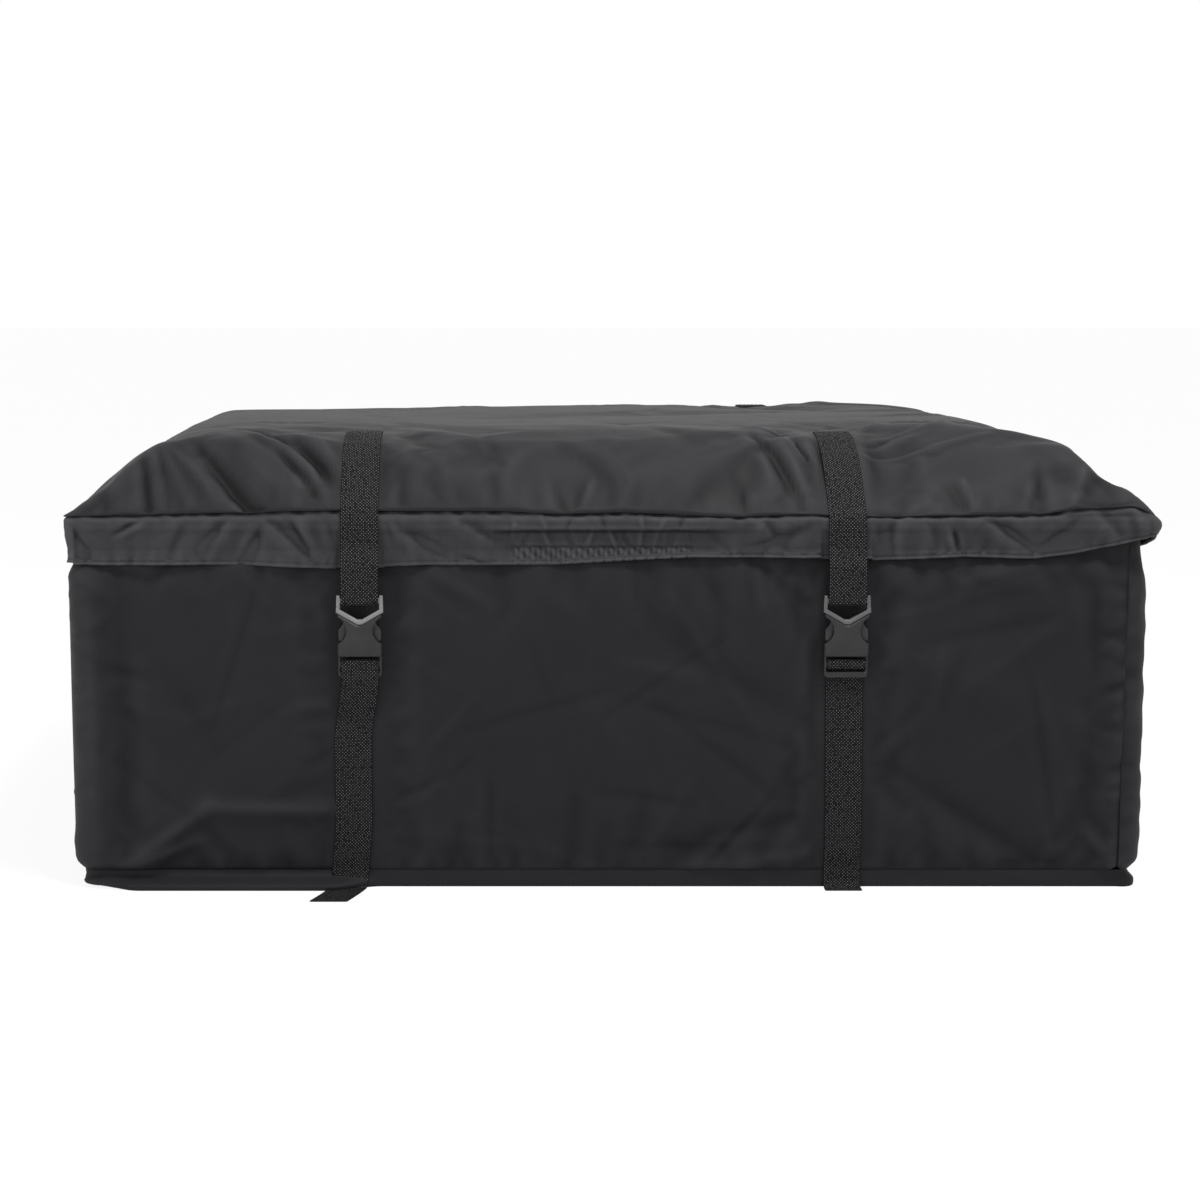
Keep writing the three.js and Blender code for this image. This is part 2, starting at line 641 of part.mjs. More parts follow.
function zipSlider() {
  const h = sliderHeight / 2;
  const l = sliderLength / 2;
  const plate = shapeOf([
    [-l, -h * 0.75],
    [-l * 0.6, -h],
    [l * 0.6, -h],
    [l, -h * 0.75],
    [l, h * 0.75],
    [l * 0.6, h],
    [-l * 0.6, h],
    [-l, h * 0.75],
  ]);
  const middle = plateFront - sliderPlate / 2;
  const front = solidFrom(uprightPlate(plate, sliderPlate).translate(0, -middle, 0));
  const back = solidFrom(uprightPlate(plate, sliderPlate).translate(0, middle, 0));
  const postHeight = zipRowGap - 2 * sliderClearance;
  const post = solidFrom(new THREE.BoxGeometry(sliderPost, 2 * middle, postHeight));
  const s = bridgeSpan / 2;
  const leg = bridgeThickness;
  const sunk = 0.4; // the bridge's feet run into the plate
  const bridge = shapeOf([
    [-s, -sunk],
    [-s, bridgeRise * 0.6],
    [-s * 0.7, bridgeRise],
    [s * 0.7, bridgeRise],
    [s, bridgeRise * 0.6],
    [s, -sunk],
    [s - leg, -sunk],
    [s - leg, bridgeRise * 0.6 - leg * 0.4],
    [s * 0.7 - leg * 0.4, bridgeRise - leg],
    [leg * 0.4 - s * 0.7, bridgeRise - leg],
    [leg - s, bridgeRise * 0.6 - leg * 0.4],
    [leg - s, -sunk],
  ]);
  const arch = new THREE.ExtrudeGeometry(bridge, { depth: bridgeWidth, bevelEnabled: false });
  arch.translate(0, 0, -bridgeWidth / 2).scale(1, -1, 1).translate(0, -plateFront, 0);
  return geometryFrom(front.add(back).add(post).add(solidFrom(arch)));
}

// Zip pull: a flat tab whose eye hangs on the bridge. It points to +X.
const pullLine = plateFront + (bridgeRise - bridgeThickness) / 2;

function zipPull() {
  const w = pullWidth / 2;
  const neck = w * pullNeck;
  const outline = shapeOf([
    [-pullBar, -neck],
    [pullLength * 0.3, -neck],
    [pullLength * 0.42, -w],
    [pullLength * 0.95, -w],
    [pullLength, -w * 0.7],
    [pullLength, w * 0.7],
    [pullLength * 0.95, w],
    [pullLength * 0.42, w],
    [pullLength * 0.3, neck],
    [-pullBar, neck],
  ]);
  const eye = bridgeWidth / 2 + pullEyeGap;
  const eyeEnd = bridgeSpan / 2 + 1;
  const hole = [
    [pullBar, -eye],
    [eyeEnd, -eye],
    [eyeEnd, eye],
    [pullBar, eye],
  ];
  outline.holes.push(new THREE.Path(hole.map(([x, y]) => new THREE.Vector2(x, y))));
  return closedBody(uprightPlate(outline, pullThickness));
}

// Buckle plug: a V-shouldered frame with a webbing bar, two springy arms and a guide blade
const shoulderSlope = shoulderRise / (plugHalf - tipFlat / 2);
const plugWindow = plugHalf - plugLegWidth;
const innerV = (u) => shoulderBand + shoulderSlope * Math.max(0, u - tipFlat / 2);

function buckleParts() {
  const tip = tipFlat / 2;
  const frame = shapeOf([
    [-plugHalf, shoulderRise],
    [-tip, 0],
    [tip, 0],
    [plugHalf, shoulderRise],
    [plugHalf - frameTaper, plugHeight],
    [plugWindow, plugHeight],
    [plugWindow, plugBarTop],
    [-plugWindow, plugBarTop],
    [-plugWindow, plugHeight],
    [frameTaper - plugHalf, plugHeight],
  ]);
  const window = [
    [-plugWindow, plugBarBottom],
    [plugWindow, plugBarBottom],
    [plugWindow, innerV(plugWindow)],
    [tip, shoulderBand],
    [-tip, shoulderBand],
    [-plugWindow, innerV(plugWindow)],
  ];
  frame.holes.push(new THREE.Path(window.map(([x, y]) => new THREE.Vector2(x, y))));
  const shoulder = shapeOf([
    [-plugHalf, shoulderRise],
    [-tip, 0],
    [tip, 0],
    [plugHalf, shoulderRise],
    [plugHalf - frameTaper, innerV(plugHalf)],
    [plugWindow, innerV(plugWindow)],
    [tip, shoulderBand],
    [-tip, shoulderBand],
    [-plugWindow, innerV(plugWindow)],
    [frameTaper - plugHalf, innerV(plugHalf)],
  ]);
  const head = socketHalf - armGap;
  const arm = (side) =>
    shapeOf([
      [side * armRoot, 5],
      [side * (armRoot + 5), 8],
      [side * armElbow, 0],
      [side * head, armHeadLength - armReach],
      [side * head, 0.5 - armReach],
      [side * (head - 4), -armReach],
      [side * (head - armHeadWidth), 5 - armReach],
      [side * (armElbow - 5), -2],
    ]);
  const blade = shapeOf([
    [-bladeWidth / 2, 2],
    [-bladeWidth / 2, 2 - bladeReach],
    [-bladeTip / 2, -bladeReach],
    [bladeTip / 2, -bladeReach],
    [bladeWidth / 2, 2 - bladeReach],
    [bladeWidth / 2, 2],
  ]);
  const plug = solidFrom(uprightPlate(frame, plateThickness, barChamfer))
    .add(solidFrom(uprightPlate(shoulder, shoulderThickness, shoulderChamfer)))
    .add(solidFrom(uprightPlate(arm(-1), plateThickness)))
    .add(solidFrom(uprightPlate(arm(1), plateThickness)))
    .add(solidFrom(uprightPlate(blade, plateThickness)));

  // Buckle socket: a hollow shell with a V mouth and two side openings, and a ladder for the webbing
  const mouthRise = shoulderSlope * (socketHalf - tip);
  const shell = shapeOf([
    [-socketHalf, mouthRise - mouthGap],
    [-tip, -mouthGap],
    [tip, -mouthGap],
    [socketHalf, mouthRise - mouthGap],
    [socketHalf, shellFoot - socketLength],
    [socketHalf - shellFoot, -socketLength],
    [shellFoot - socketHalf, -socketLength],
    [-socketHalf, shellFoot - socketLength],
  ]);
  const cavityHalf = socketHalf - socketWall;
  const cavityTop = shoulderRise + 4; // past the mouth
  const cavityBottom = cavityFloor - socketLength;
  const cavity = shapeOf([
    [-cavityHalf, cavityTop],
    [-cavityHalf, cavityBottom],
    [cavityHalf, cavityBottom],
    [cavityHalf, cavityTop],
  ]);
  const bite = (side) => {
    const cut = new THREE.CylinderGeometry(biteRadius, biteRadius, socketThickness + 2, 20);
    return solidFrom(cut.translate(side * (socketHalf - biteDepth + biteRadius), 0, -biteDrop));
  };
  const ladderBottom = -socketLength - 2 * slotHeight - middleBar - endBar;
  const ladderTop = cavityBottom; // the ladder runs into the shell's solid foot
  const ladderCut = ladderCorner * 0.3;
  const ladder = shapeOf([
    [-socketHalf, ladderTop],
    [-socketHalf, ladderBottom + ladderCorner],
    [ladderCut - socketHalf, ladderBottom + ladderCut],
    [ladderCorner - socketHalf, ladderBottom],
    [socketHalf - ladderCorner, ladderBottom],
    [socketHalf - ladderCut, ladderBottom + ladderCut],
    [socketHalf, ladderBottom + ladderCorner],
    [socketHalf, ladderTop],
  ]);
  const slotHalf = webWidth / 2 + slotSideGap;
  for (const top of [-socketLength, -socketLength - slotHeight - middleBar]) {
    const slot = [
      [-slotHalf, top],
      [slotHalf, top],
      [slotHalf, top - slotHeight],
      [-slotHalf, top - slotHeight],
    ];
    ladder.holes.push(new THREE.Path(slot.map(([x, y]) => new THREE.Vector2(x, y))));
  }
  const socket = solidFrom(uprightPlate(shell, socketThickness, shellChamfer))
    .subtract(solidFrom(uprightPlate(cavity, plateThickness + 2 * cavityGap)))
    .subtract(bite(-1))
    .subtract(bite(1))
    .add(solidFrom(uprightPlate(ladder, plateThickness, barChamfer)));
  return { plug: geometryFrom(plug), socket: geometryFrom(socket) };
}

// Where the buckles and their webbing lie, outward from the middle of the bag
const fullestHeight = (baseEdgeHeight + bulgeTopHeight) / 2;
const buckleLine = (x, side) => wallFace(x, side, fullestHeight) + seamGap + socketThickness / 2;
const ladderTop = buckleTipHeight - socketLength;
const ladderLevels = {
  slotA: ladderTop,
  middleTop: ladderTop - slotHeight,
  middleBottom: ladderTop - slotHeight - middleBar,
  endTop: ladderTop - 2 * slotHeight - middleBar,
  endBottom: ladderTop - 2 * slotHeight - middleBar - endBar,
};

// Upper webbing: sewn on the top, down the lid's slope, over the flap, round the plug's bar and back up.
// Its line is listed from the top, and reversed so that the webbing lies outside it.
function upperWebbing(x, side) {
  const sewn = lidLinesY
    .map((y) => side * y)
    .filter((out) => out > patchStart - 0.01)
    .sort((a, b) => a - b);
  const barFront = buckleLine(x, side) + plateThickness / 2;
  const barBack = buckleLine(x, side) - plateThickness / 2;
  const barBottom = buckleTipHeight + plugBarBottom;
  const barTop = buckleTipHeight + plugBarTop;
  const hang = lidHalfY + flapThickness + edgeStandoff;
  const doubled = barFront - seamGap;
  return webbing(
    [
      ...sewn.map((out) => [out, lidSurface(x, side * out)]),
      [hang, lidSeamHeight - edgeDrop],
      [hang + edgeStandoff, lidSeamHeight - 2 * edgeDrop],
      [barFront, lidSeamHeight - flapDrop],
      [barFront, barBottom + barChamfer],
      [barFront - barChamfer, barBottom],
      [barBack + barChamfer, barBottom],
      [barBack, barBottom + barChamfer],
      [barBack, barTop + barChamfer],
      [doubled, barTop + doubledRise],
      [doubled, barTop + doubledRise + doubledEnd],
    ].reverse(),
    x,
    side,
  );
}

// Lower webbing: from its free end on the floor, up the wall and into the socket's ladder.
function lowerWebbing(x, side, tail, overEndBar) {
  const barFront = buckleLine(x, side) + plateThickness / 2;
  const barBack = buckleLine(x, side) - plateThickness / 2;
  const { slotA, middleTop, middleBottom, endBottom } = ladderLevels;
  const layer = webThickness + 2 * seamGap;
  const behind = barBack - layer; // the strand that passes behind the bars
  const onWall = wallLinesUp.filter((up) => up < endBottom - (overEndBar ? loopedSlackBelow : slackBelow));
  const foot = [
    [halfDepth + tail, -seamGap],
    [halfDepth + footBend, -seamGap],
    [halfDepth + footGap, footRise],
  ];
  const top = overEndBar
    ? [
        [barFront, endBottom - barChamfer],
        [barFront, middleTop - barChamfer],
        [barFront - barChamfer, middleTop],
        [barBack + barChamfer, middleTop],
        [barBack, middleTop - barChamfer],
        [barBack, endBottom],
        [barBack - seamGap, endBottom - loopedTail],
      ]
    : [
        [behind, endBottom - footRise],
        [behind, middleBottom - barChamfer],
        [behind + barChamfer, middleBottom],
        [barFront - barChamfer, middleBottom],
        [barFront, middleBottom + barChamfer],
        [barFront, middleTop - barChamfer],
        [barFront - barChamfer, middleTop],
        [barBack + barChamfer, middleTop],
        [barBack, middleTop - barChamfer],
        [behind, middleBottom + barChamfer],
        [behind, endBottom + barChamfer],
      ];
  const drift = (up) => footShift * smooth((endBottom - up) / endBottom);
  return webbing([...foot, ...onWall.map((up) => [wallFace(x, side, up), up]), ...top], x, side, drift);
}

// Finishes, as they look in daylight
const finish = (color, roughness, metalness = 0) => new THREE.MeshStandardMaterial({ color, roughness, metalness });
const finishes = {
  cloth: finish(0x2c2c2f, 0.55),
  flap: finish(0x333336, 0.55),
  webbing: finish(0x242426, 0.85),
  plastic: finish(0x29292b, 0.42),
  zip: finish(0x1d1d1f, 0.6),
  metal: finish(0x3a3a3c, 0.35, 0.8),
};

const bag = new THREE.Group();

function addPiece(name, geometry, finishName, parent = bag) {
  const mesh = new THREE.Mesh(geometry, finishes[finishName].clone());
  mesh.name = name;
  parent.add(mesh);
  return mesh;
}

addPiece('base_panel', basePanel(), 'cloth');
addPiece('front_wall', wallPanel('front', frontWallStep), 'cloth');
addPiece('back_wall', wallPanel('back', backWallStep), 'cloth');
addPiece('left_wall', wallPanel('left', endWallStep), 'cloth');
addPiece('right_wall', wallPanel('right', endWallStep), 'cloth');
addPiece('lid_panel', lidPanel(), 'cloth');
addPiece('storm_flap', pathStrip(flapPath, flapRows), 'flap');
addPiece('hook_strip', stripAt(hookStripLine), 'webbing');
addPiece('loop_strip', stripAt(loopStripLine), 'webbing');
addPiece('zip_tape_upper', pathStrip(zipPath, upperTapeRows), 'zip');
addPiece('zip_tape_lower', pathStrip(zipPath, lowerTapeRows), 'zip');

for (const [name, way] of [['left', -1], ['right', 1]]) {
  const at = new THREE.Group();
  at.position.set(way * sliderRestX, -halfDepth, zipHeight);
  addPiece('zip_slider_' + name, zipSlider(), 'metal', at);
  const pull = addPiece('zip_pull_' + name, zipPull(), 'metal', at);
  pull.position.y = -pullLine;
  pull.rotation.y = way < 0 ? Math.PI : 0;
  bag.add(at);
}

const straps = [
  { name: 'front_left', x: strapLeftX, side: -1, tail: floorTail, overEndBar: true },
  { name: 'front_right', x: strapRightX, side: -1, tail: shortFloorTail, overEndBar: false },
  { name: 'back_left', x: strapLeftX, side: 1, tail: shortFloorTail, overEndBar: false },
  { name: 'back_right', x: strapRightX, side: 1, tail: shortFloorTail, overEndBar: false },
];

for (const { name, x, side, tail, overEndBar } of straps) {
  const buckle = new THREE.Group();
  buckle.position.set(x, side * buckleLine(x, side), buckleTipHeight);
  buckle.rotation.z = side > 0 ? Math.PI : 0;
  const { plug, socket } = buckleParts();
  addPiece(name + '_upper_webbing', upperWebbing(x, side), 'webbing');
  addPiece(name + '_plug', plug, 'plastic', buckle);
  addPiece(name + '_socket', socket, 'plastic', buckle);
  addPiece(name + '_lower_webbing', lowerWebbing(x, side, tail, overEndBar), 'webbing');
  bag.add(buckle);
}

export default bag;
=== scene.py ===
import bmesh
import bpy
import math
import numpy as np
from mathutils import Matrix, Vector


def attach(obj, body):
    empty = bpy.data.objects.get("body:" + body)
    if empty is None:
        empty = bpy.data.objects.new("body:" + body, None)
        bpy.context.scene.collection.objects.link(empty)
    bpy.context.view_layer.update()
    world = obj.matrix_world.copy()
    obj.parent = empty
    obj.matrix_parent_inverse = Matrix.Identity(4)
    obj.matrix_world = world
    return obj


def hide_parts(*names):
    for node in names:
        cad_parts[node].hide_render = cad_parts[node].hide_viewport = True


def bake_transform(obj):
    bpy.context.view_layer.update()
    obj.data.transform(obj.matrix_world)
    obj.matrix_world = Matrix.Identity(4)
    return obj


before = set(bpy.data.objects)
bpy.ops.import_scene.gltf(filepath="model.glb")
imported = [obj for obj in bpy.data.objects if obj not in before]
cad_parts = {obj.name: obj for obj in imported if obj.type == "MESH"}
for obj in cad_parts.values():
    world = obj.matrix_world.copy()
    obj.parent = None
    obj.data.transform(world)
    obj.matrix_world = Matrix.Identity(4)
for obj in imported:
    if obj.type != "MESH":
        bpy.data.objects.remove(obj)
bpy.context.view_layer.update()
scene = bpy.context.scene
scene.view_settings.view_transform = "Standard"

# Sizes of the bag in millimetres. Front is -Y, +X is right, z = 0 is the floor.
mm = 0.001
bag = {
    "halfLength": 545.0,
    "halfDepth": 430.0,
    "corner": 16.0,
    "baseEdge": 18.0,
    "bulgeTop": 348.0,
    "seam": 390.0,
    "lidHalfX": 554.0,
    "lidHalfY": 439.0,
    "web": 38.0,
    "strapLeft": -254.0,
    "strapRight": 240.0,
    "tip": 279.6,  # top of the sockets
}
calmHalf = bag["web"] / 2 + 6
# each strap's place along X, and -1 at the front or 1 at the back
straps = {
    "front_left": (bag["strapLeft"], -1),
    "front_right": (bag["strapRight"], -1),
    "back_left": (bag["strapLeft"], 1),
    "back_right": (bag["strapRight"], 1),
}


def clamp01(t):
    return np.clip(t, 0.0, 1.0)


def smooth(t):
    t = clamp01(t)
    return t * t * (3 - 2 * t)


def rising(value, start, length):
    # 0 up to start, and 1 from start + length on
    return smooth((value - start) / length)


def falling(value, end, length):
    # 1 up to end - length, and 0 from end on
    return smooth((end - value) / length)


def calmed(x):
    # cloth under a strap takes the height it has at the strap's middle
    out = np.array(x, dtype=float)
    for s in (bag["strapLeft"], bag["strapRight"]):
        near = np.abs(out - s)
        out = np.where(near < calmHalf, s, out)
    return out


def strapFree(x):
    # 0 under a strap, 1 well clear of it
    free = np.ones_like(np.asarray(x, dtype=float))
    for s in (bag["strapLeft"], bag["strapRight"]):
        free = np.minimum(free, rising(np.abs(x - s), calmHalf - 3, 22))
    return free


def bell(distance, width):
    return np.exp(-((distance / width) ** 2))


def nearLine(u, v, x0, y0, x1, y1):
    # how far along the line each point lies, from 0 to 1, and how far away from it
    du, dv = x1 - x0, y1 - y0
    t = clamp01(((u - x0) * du + (v - y0) * dv) / (du * du + dv * dv))
    return t, np.hypot(u - x0 - t * du, v - y0 - t * dv)


def foldLine(u, v, x0, y0, x1, y1, width, height, sharp=2.0):
    # a fold along a line: soft with sharp = 2, edged with sharp = 1.1
    t, away = nearLine(u, v, x0, y0, x1, y1)
    fade = 0.35 + 0.65 * np.sin(math.pi * clamp01(0.12 + 0.76 * t))
    return height * fade * np.exp(-((away / width) ** sharp))


def tuckLine(u, v, x0, y0, x1, y1, width, height):
    # a fold that laps over: raised a little on one side of its line and sunk on the other
    t, away = nearLine(u, v, x0, y0, x1, y1)
    du, dv = x1 - x0, y1 - y0
    side = ((u - x0) * dv - (v - y0) * du) / math.hypot(du, dv)
    fade = np.sin(math.pi * clamp01(0.1 + 0.8 * t))
    rise = height * fade * 2.33 * side / width * bell(away, width)
    return np.where(rise > 0, 0.4 * rise, rise)


def scatterFolds(u, v, seed, count, span, reach, width, height):
    # loose short folds at random places and angles
    rng = np.random.default_rng(seed)
    total = np.zeros_like(u)
    for _ in range(count):
        cx = rng.uniform(span[0], span[1])
        cy = rng.uniform(span[2], span[3])
        angle = math.radians(rng.uniform(0, 180))
        half = rng.uniform(*reach) / 2
        dx, dy = half * math.cos(angle), half * math.sin(angle)
        wide = rng.uniform(*width)
        tall = rng.uniform(*height) * rng.choice([-1, 1])
        total += foldLine(u, v, cx - dx, cy - dy, cx + dx, cy + dy, wide, tall, rng.uniform(1.2, 1.9))
    return total


def gathers(u, away, seed, span, pitch, height, reach):
    # short folds that start at a seam and die out with distance from it
    rng = np.random.default_rng(seed)
    total = np.zeros_like(u)
    place = span[0]
    while place < span[1]:
        place += rng.uniform(0.55, 1.6) * pitch
        lean = rng.uniform(-0.35, 0.35)
        wide = rng.uniform(0.22, 0.42) * pitch
        tall = rng.uniform(0.35, 1.0) * height * rng.choice([-1, 1])
        far = rng.uniform(0.6, 1.4) * reach
        beside = u - place - lean * away
        total += tall * bell(beside, wide + 0.12 * away) * np.exp(-away / far)
    return total


# Mesh helpers
def meshObject(bm, name):
    mesh = bpy.data.meshes.new(name)
    bm.to_mesh(mesh)
    bm.free()
    obj = bpy.data.objects.new(name, mesh)
    scene.collection.objects.link(obj)
    return obj


def gridSheet(name, cellsU, cellsV):
    # a flat unit grid, which formSheet gives its form
    bm = bmesh.new()
    bmesh.ops.create_grid(bm, x_segments=cellsU, y_segments=cellsV, size=0.5, calc_uvs=False)
    return meshObject(bm, name)


def readValues(items, key, width=1, kind=float):
    flat = np.empty(len(items) * width, dtype=kind)
    items.foreach_get(key, flat)
    return flat.reshape(-1, width) if width > 1 else flat


def readPoints(mesh):
    return readValues(mesh.vertices, "co", 3)


def writePoints(mesh, points):
    mesh.vertices.foreach_set("co", np.ascontiguousarray(points, dtype=float).ravel())
    mesh.update()


def writeUv(mesh, u, v):
    layer = mesh.uv_layers.new(name="cloth")
    corner = readValues(mesh.loops, "vertex_index", kind=np.int64)
    layer.data.foreach_set("uv", np.stack([u[corner], v[corner]], axis=1).ravel())


def formSheet(obj, spanU, spanV, place, crowd=None):
    # moves a unit grid to place(u, v), with u and v in millimetres along the cloth
    flat = readPoints(obj.data)
    u = spanU[0] + (flat[:, 0] + 0.5) * (spanU[1] - spanU[0])
    v = spanV[0] + (flat[:, 1] + 0.5) * (spanV[1] - spanV[0])
    if crowd is not None:
        v = crowd(v)
    writePoints(obj.data, np.stack(place(u, v), axis=1) * mm)
    writeUv(obj.data, u * mm, v * mm)
    return u, v


def applied(obj):
    # bakes the modifiers into the mesh
    deps = bpy.context.evaluated_depsgraph_get()
    mesh = bpy.data.meshes.new_from_object(obj.evaluated_get(deps), depsgraph=deps)
    obj.modifiers.clear()
    old = obj.data
    obj.data = mesh
    bpy.data.meshes.remove(old)


def thicken(obj, thickness, offset=-1.0, even=True):
    solid = obj.modifiers.new("wall", "SOLIDIFY")
    solid.thickness = thickness * mm
    solid.offset = offset
    solid.use_even_offset = even
    applied(obj)


def relief(obj, height):
    # raises each point along its normal by height(u, v), with u and v in millimetres along the cloth
    mesh = obj.data
    corner = readValues(mesh.loops, "vertex_index", kind=np.int64)
    at = np.zeros((len(mesh.vertices), 2))
    at[corner] = readValues(mesh.uv_layers["cloth"].data, "uv", 2) / mm
    normals = readValues(mesh.vertex_normals, "vector", 3)
    lift = height(at[:, 0], at[:, 1]) * mm
    writePoints(mesh, readPoints(mesh) + normals * lift[:, None])


def markFoldShading(obj):
    # a "fold" value for each point: above 0 in a crease and below 0 on a ridge, which the cloth finishes use
    # to paint shade into the creases and a highlight onto the ridges
    mesh = obj.data
    points = readPoints(mesh)
    normals = readValues(mesh.vertex_normals, "vector", 3)
    a, b = readValues(mesh.edges, "vertices", 2, np.int64).T
    degree = np.maximum(np.bincount(a, minlength=len(points)) + np.bincount(b, minlength=len(points)), 1)

    def around(values):
        total = np.bincount(a, values[b], len(points)) + np.bincount(b, values[a], len(points))
        return total / degree

    middle = np.stack([around(points[:, i]) for i in range(3)], axis=1)
    span = np.linalg.norm(points[b] - points[a], axis=1)
    reach = (np.bincount(a, span, len(points)) + np.bincount(b, span, len(points))) / degree
    value = ((middle - points) * normals).sum(axis=1) / reach
    for _ in range(2):
        value = (value + around(value)) / 2
    fold = mesh.attributes.new("fold", "FLOAT", "POINT")
    fold.data.foreach_set("value", value)


def shadeSmooth(obj, angle=None):
    obj.data.shade_smooth()
    if angle:
        obj.data.set_sharp_from_angle(angle=math.radians(angle))


def faceOutward(obj):
    # turns a single sheet so that most of it faces away from the bag's middle
    mesh = obj.data
    middle = Vector((0, 0, 0.2))
    lean = sum((f.center - middle).dot(f.normal) * f.area for f in mesh.polygons)
    if lean < 0:
        mesh.flip_normals()


# of the cloth simulation
drape = {"quality": 6, "mass": 0.2, "stiffness": 15, "bending": 0.2, "airDamping": 2}


def settle(obj, hold, frames, pressure, growth, cap):
    # a short cloth simulation; hold is 1 at seams and under straps, and less where cloth is free
    start = readPoints(obj.data).copy()
    group = obj.vertex_groups.new(name="hold")
    for value in np.unique(np.round(hold, 2)):
        picked = np.nonzero(np.round(hold, 2) == value)[0].tolist()
        if value > 0:
            group.add(picked, float(value), "REPLACE")
    cloth = obj.modifiers.new("cloth", "CLOTH")
    s = cloth.settings
    s.quality = drape["quality"]
    s.mass = drape["mass"]
    s.tension_stiffness = drape["stiffness"]
    s.compression_stiffness = drape["stiffness"]
    s.shear_stiffness = drape["stiffness"] / 3
    s.bending_stiffness = drape["bending"]
    s.air_damping = drape["airDamping"]
    s.vertex_group_mass = "hold"
    s.pin_stiffness = 1
    s.shrink_min = -growth
    s.use_pressure = True
    s.uniform_pressure_force = pressure
    s.effector_weights.gravity = 0
    cloth.collision_settings.use_collision = False
    cloth.point_cache.frame_end = frames
    for f in range(1, frames + 1):
        scene.frame_set(f)
    deps = bpy.context.evaluated_depsgraph_get()
    end = readPoints(obj.evaluated_get(deps).to_mesh())
    move = end - start
    size = np.linalg.norm(move, axis=1)
    limit = np.minimum(1.0, cap * mm / np.maximum(size, 1e-9))
    obj.modifiers.remove(cloth)
    obj.vertex_groups.clear()
    writePoints(obj.data, start + move * limit[:, None])
    scene.frame_set(1)
    print("cloth", obj.name, "moved up to", round(float(size.max()) / mm, 1), "mm")


def finerGrid(obj):
    sub = obj.modifiers.new("finer", "SUBSURF")
    sub.levels = sub.render_levels = 1
    applied(obj)


weave = {"cell": 1.12, "pitch": 3.4, "relief": 0.24, "thickness": 1.1}  # of the webbing
clothPitch = 0.95  # of the panels' weave


# Materials
class Wire:
    # a shader socket that can be used in sums
    def __init__(self, tree, socket=None):
        self.tree = tree
        self.socket = socket

    def node(self, kind, settings=None, values=None, out=0):
        made = self.tree.nodes.new(kind)
        for key, value in (settings or {}).items():
            setattr(made, key, value)
        for key, value in (values or {}).items():
            if isinstance(value, Wire):
                self.tree.links.new(value.socket, made.inputs[key])
            else:
                made.inputs[key].default_value = value
        return Wire(self.tree, made.outputs[out])

    def maths(self, operation, other=None):
        values = {0: self} if other is None else {0: self, 1: other}
        return self.node("ShaderNodeMath", {"operation": operation}, values)

    def __add__(self, other):
        return self.maths("ADD", other)

    __radd__ = __add__

    def __mul__(self, other):
        return self.maths("MULTIPLY", other)

    def __sub__(self, other):
        return self.maths("SUBTRACT", other)

    def noise(self, place, scale, detail, kind="FBM", roughness=0.5, distortion=0.0):
        values = {"Vector": place, "Scale": scale, "Detail": detail, "Roughness": roughness}
        values["Distortion"] = distortion
        return self.node("ShaderNodeTexNoise", {"noise_type": kind}, values)

    def bump(self, height, strength, distance, normal=None):
        values = {"Strength": strength, "Distance": distance, "Height": height}
        if normal is not None:
            values["Normal"] = normal
        return self.node("ShaderNodeBump", None, values)

    def mixed(self, amount, first, second):
        first, second = (c if isinstance(c, Wire) else (*c, 1) for c in (first, second))
        return self.node("ShaderNodeMix", {"data_type": "RGBA"}, {0: amount, 6: first, 7: second}, out=2)

    def checks(self, uv, pitch, timesU=1, timesV=1):
        # threads over and under: a wave across times a wave along
        turn = 2 * math.pi / (pitch * mm)
        u = self.node("ShaderNodeSeparateXYZ", None, {0: uv})
        v = self.node("ShaderNodeSeparateXYZ", None, {0: uv}, out=1)
        return (u * (turn * timesU)).maths("SINE") * (v * (turn * timesV)).maths("SINE")


def newFinish(name, roughness, specular=0.5, sheen=0.0, metallic=0.0):
    material = bpy.data.materials.new(name)
    material.use_nodes = True
    shader = material.node_tree.nodes["Principled BSDF"]
    shader.inputs["Roughness"].default_value = roughness
    shader.inputs["Specular IOR Level"].default_value = specular
    shader.inputs["Sheen Weight"].default_value = sheen
    shader.inputs["Sheen Roughness"].default_value = 0.45
    shader.inputs["Metallic"].default_value = metallic
    return material, shader, Wire(material.node_tree)


def feed(shader, name, wire):
    wire.tree.links.new(wire.socket, shader.inputs[name])


def clothFinish(name, dark, light, roughness, specular, wrinkles, paintedFoldShade):
    # coated polyester: a fine plain weave under a thin film, dusty in patches, with painted shade in its
    # creases and a painted highlight on its ridges
    material, shader, wires = newFinish(name, roughness, specular, sheen=0.01)
    uv = wires.node("ShaderNodeUVMap", {"uv_map": "cloth"})
    threads = wires.checks(uv, clothPitch)
    patch = wires.noise(uv, 9.0, 5.0, roughness=0.6)
    grain = wires.noise(uv, 420.0, 2.0)
    fold = wires.node("ShaderNodeAttribute", {"attribute_name": "fold"}, None, out=2)
    # painted shade in the creases and painted highlight on the ridges, from the fold value
    shade = patch * 0.5 + grain * 0.3 + threads * 0.08 + 0.05 - fold * paintedFoldShade
    feed(shader, "Base Color", wires.mixed(shade, dark, light))
    feed(shader, "Roughness", roughness - 0.1 + patch * 0.14 + grain * 0.08)
    ruck = wires.noise(uv, 48.0, 3.0, "RIDGED_MULTIFRACTAL", distortion=0.6)
    rucked = wires.bump(ruck, wrinkles, 0.003)
    feed(shader, "Normal", wires.bump(threads * 0.6 + grain * 0.8, 0.25, 0.0002, rucked))
    return material


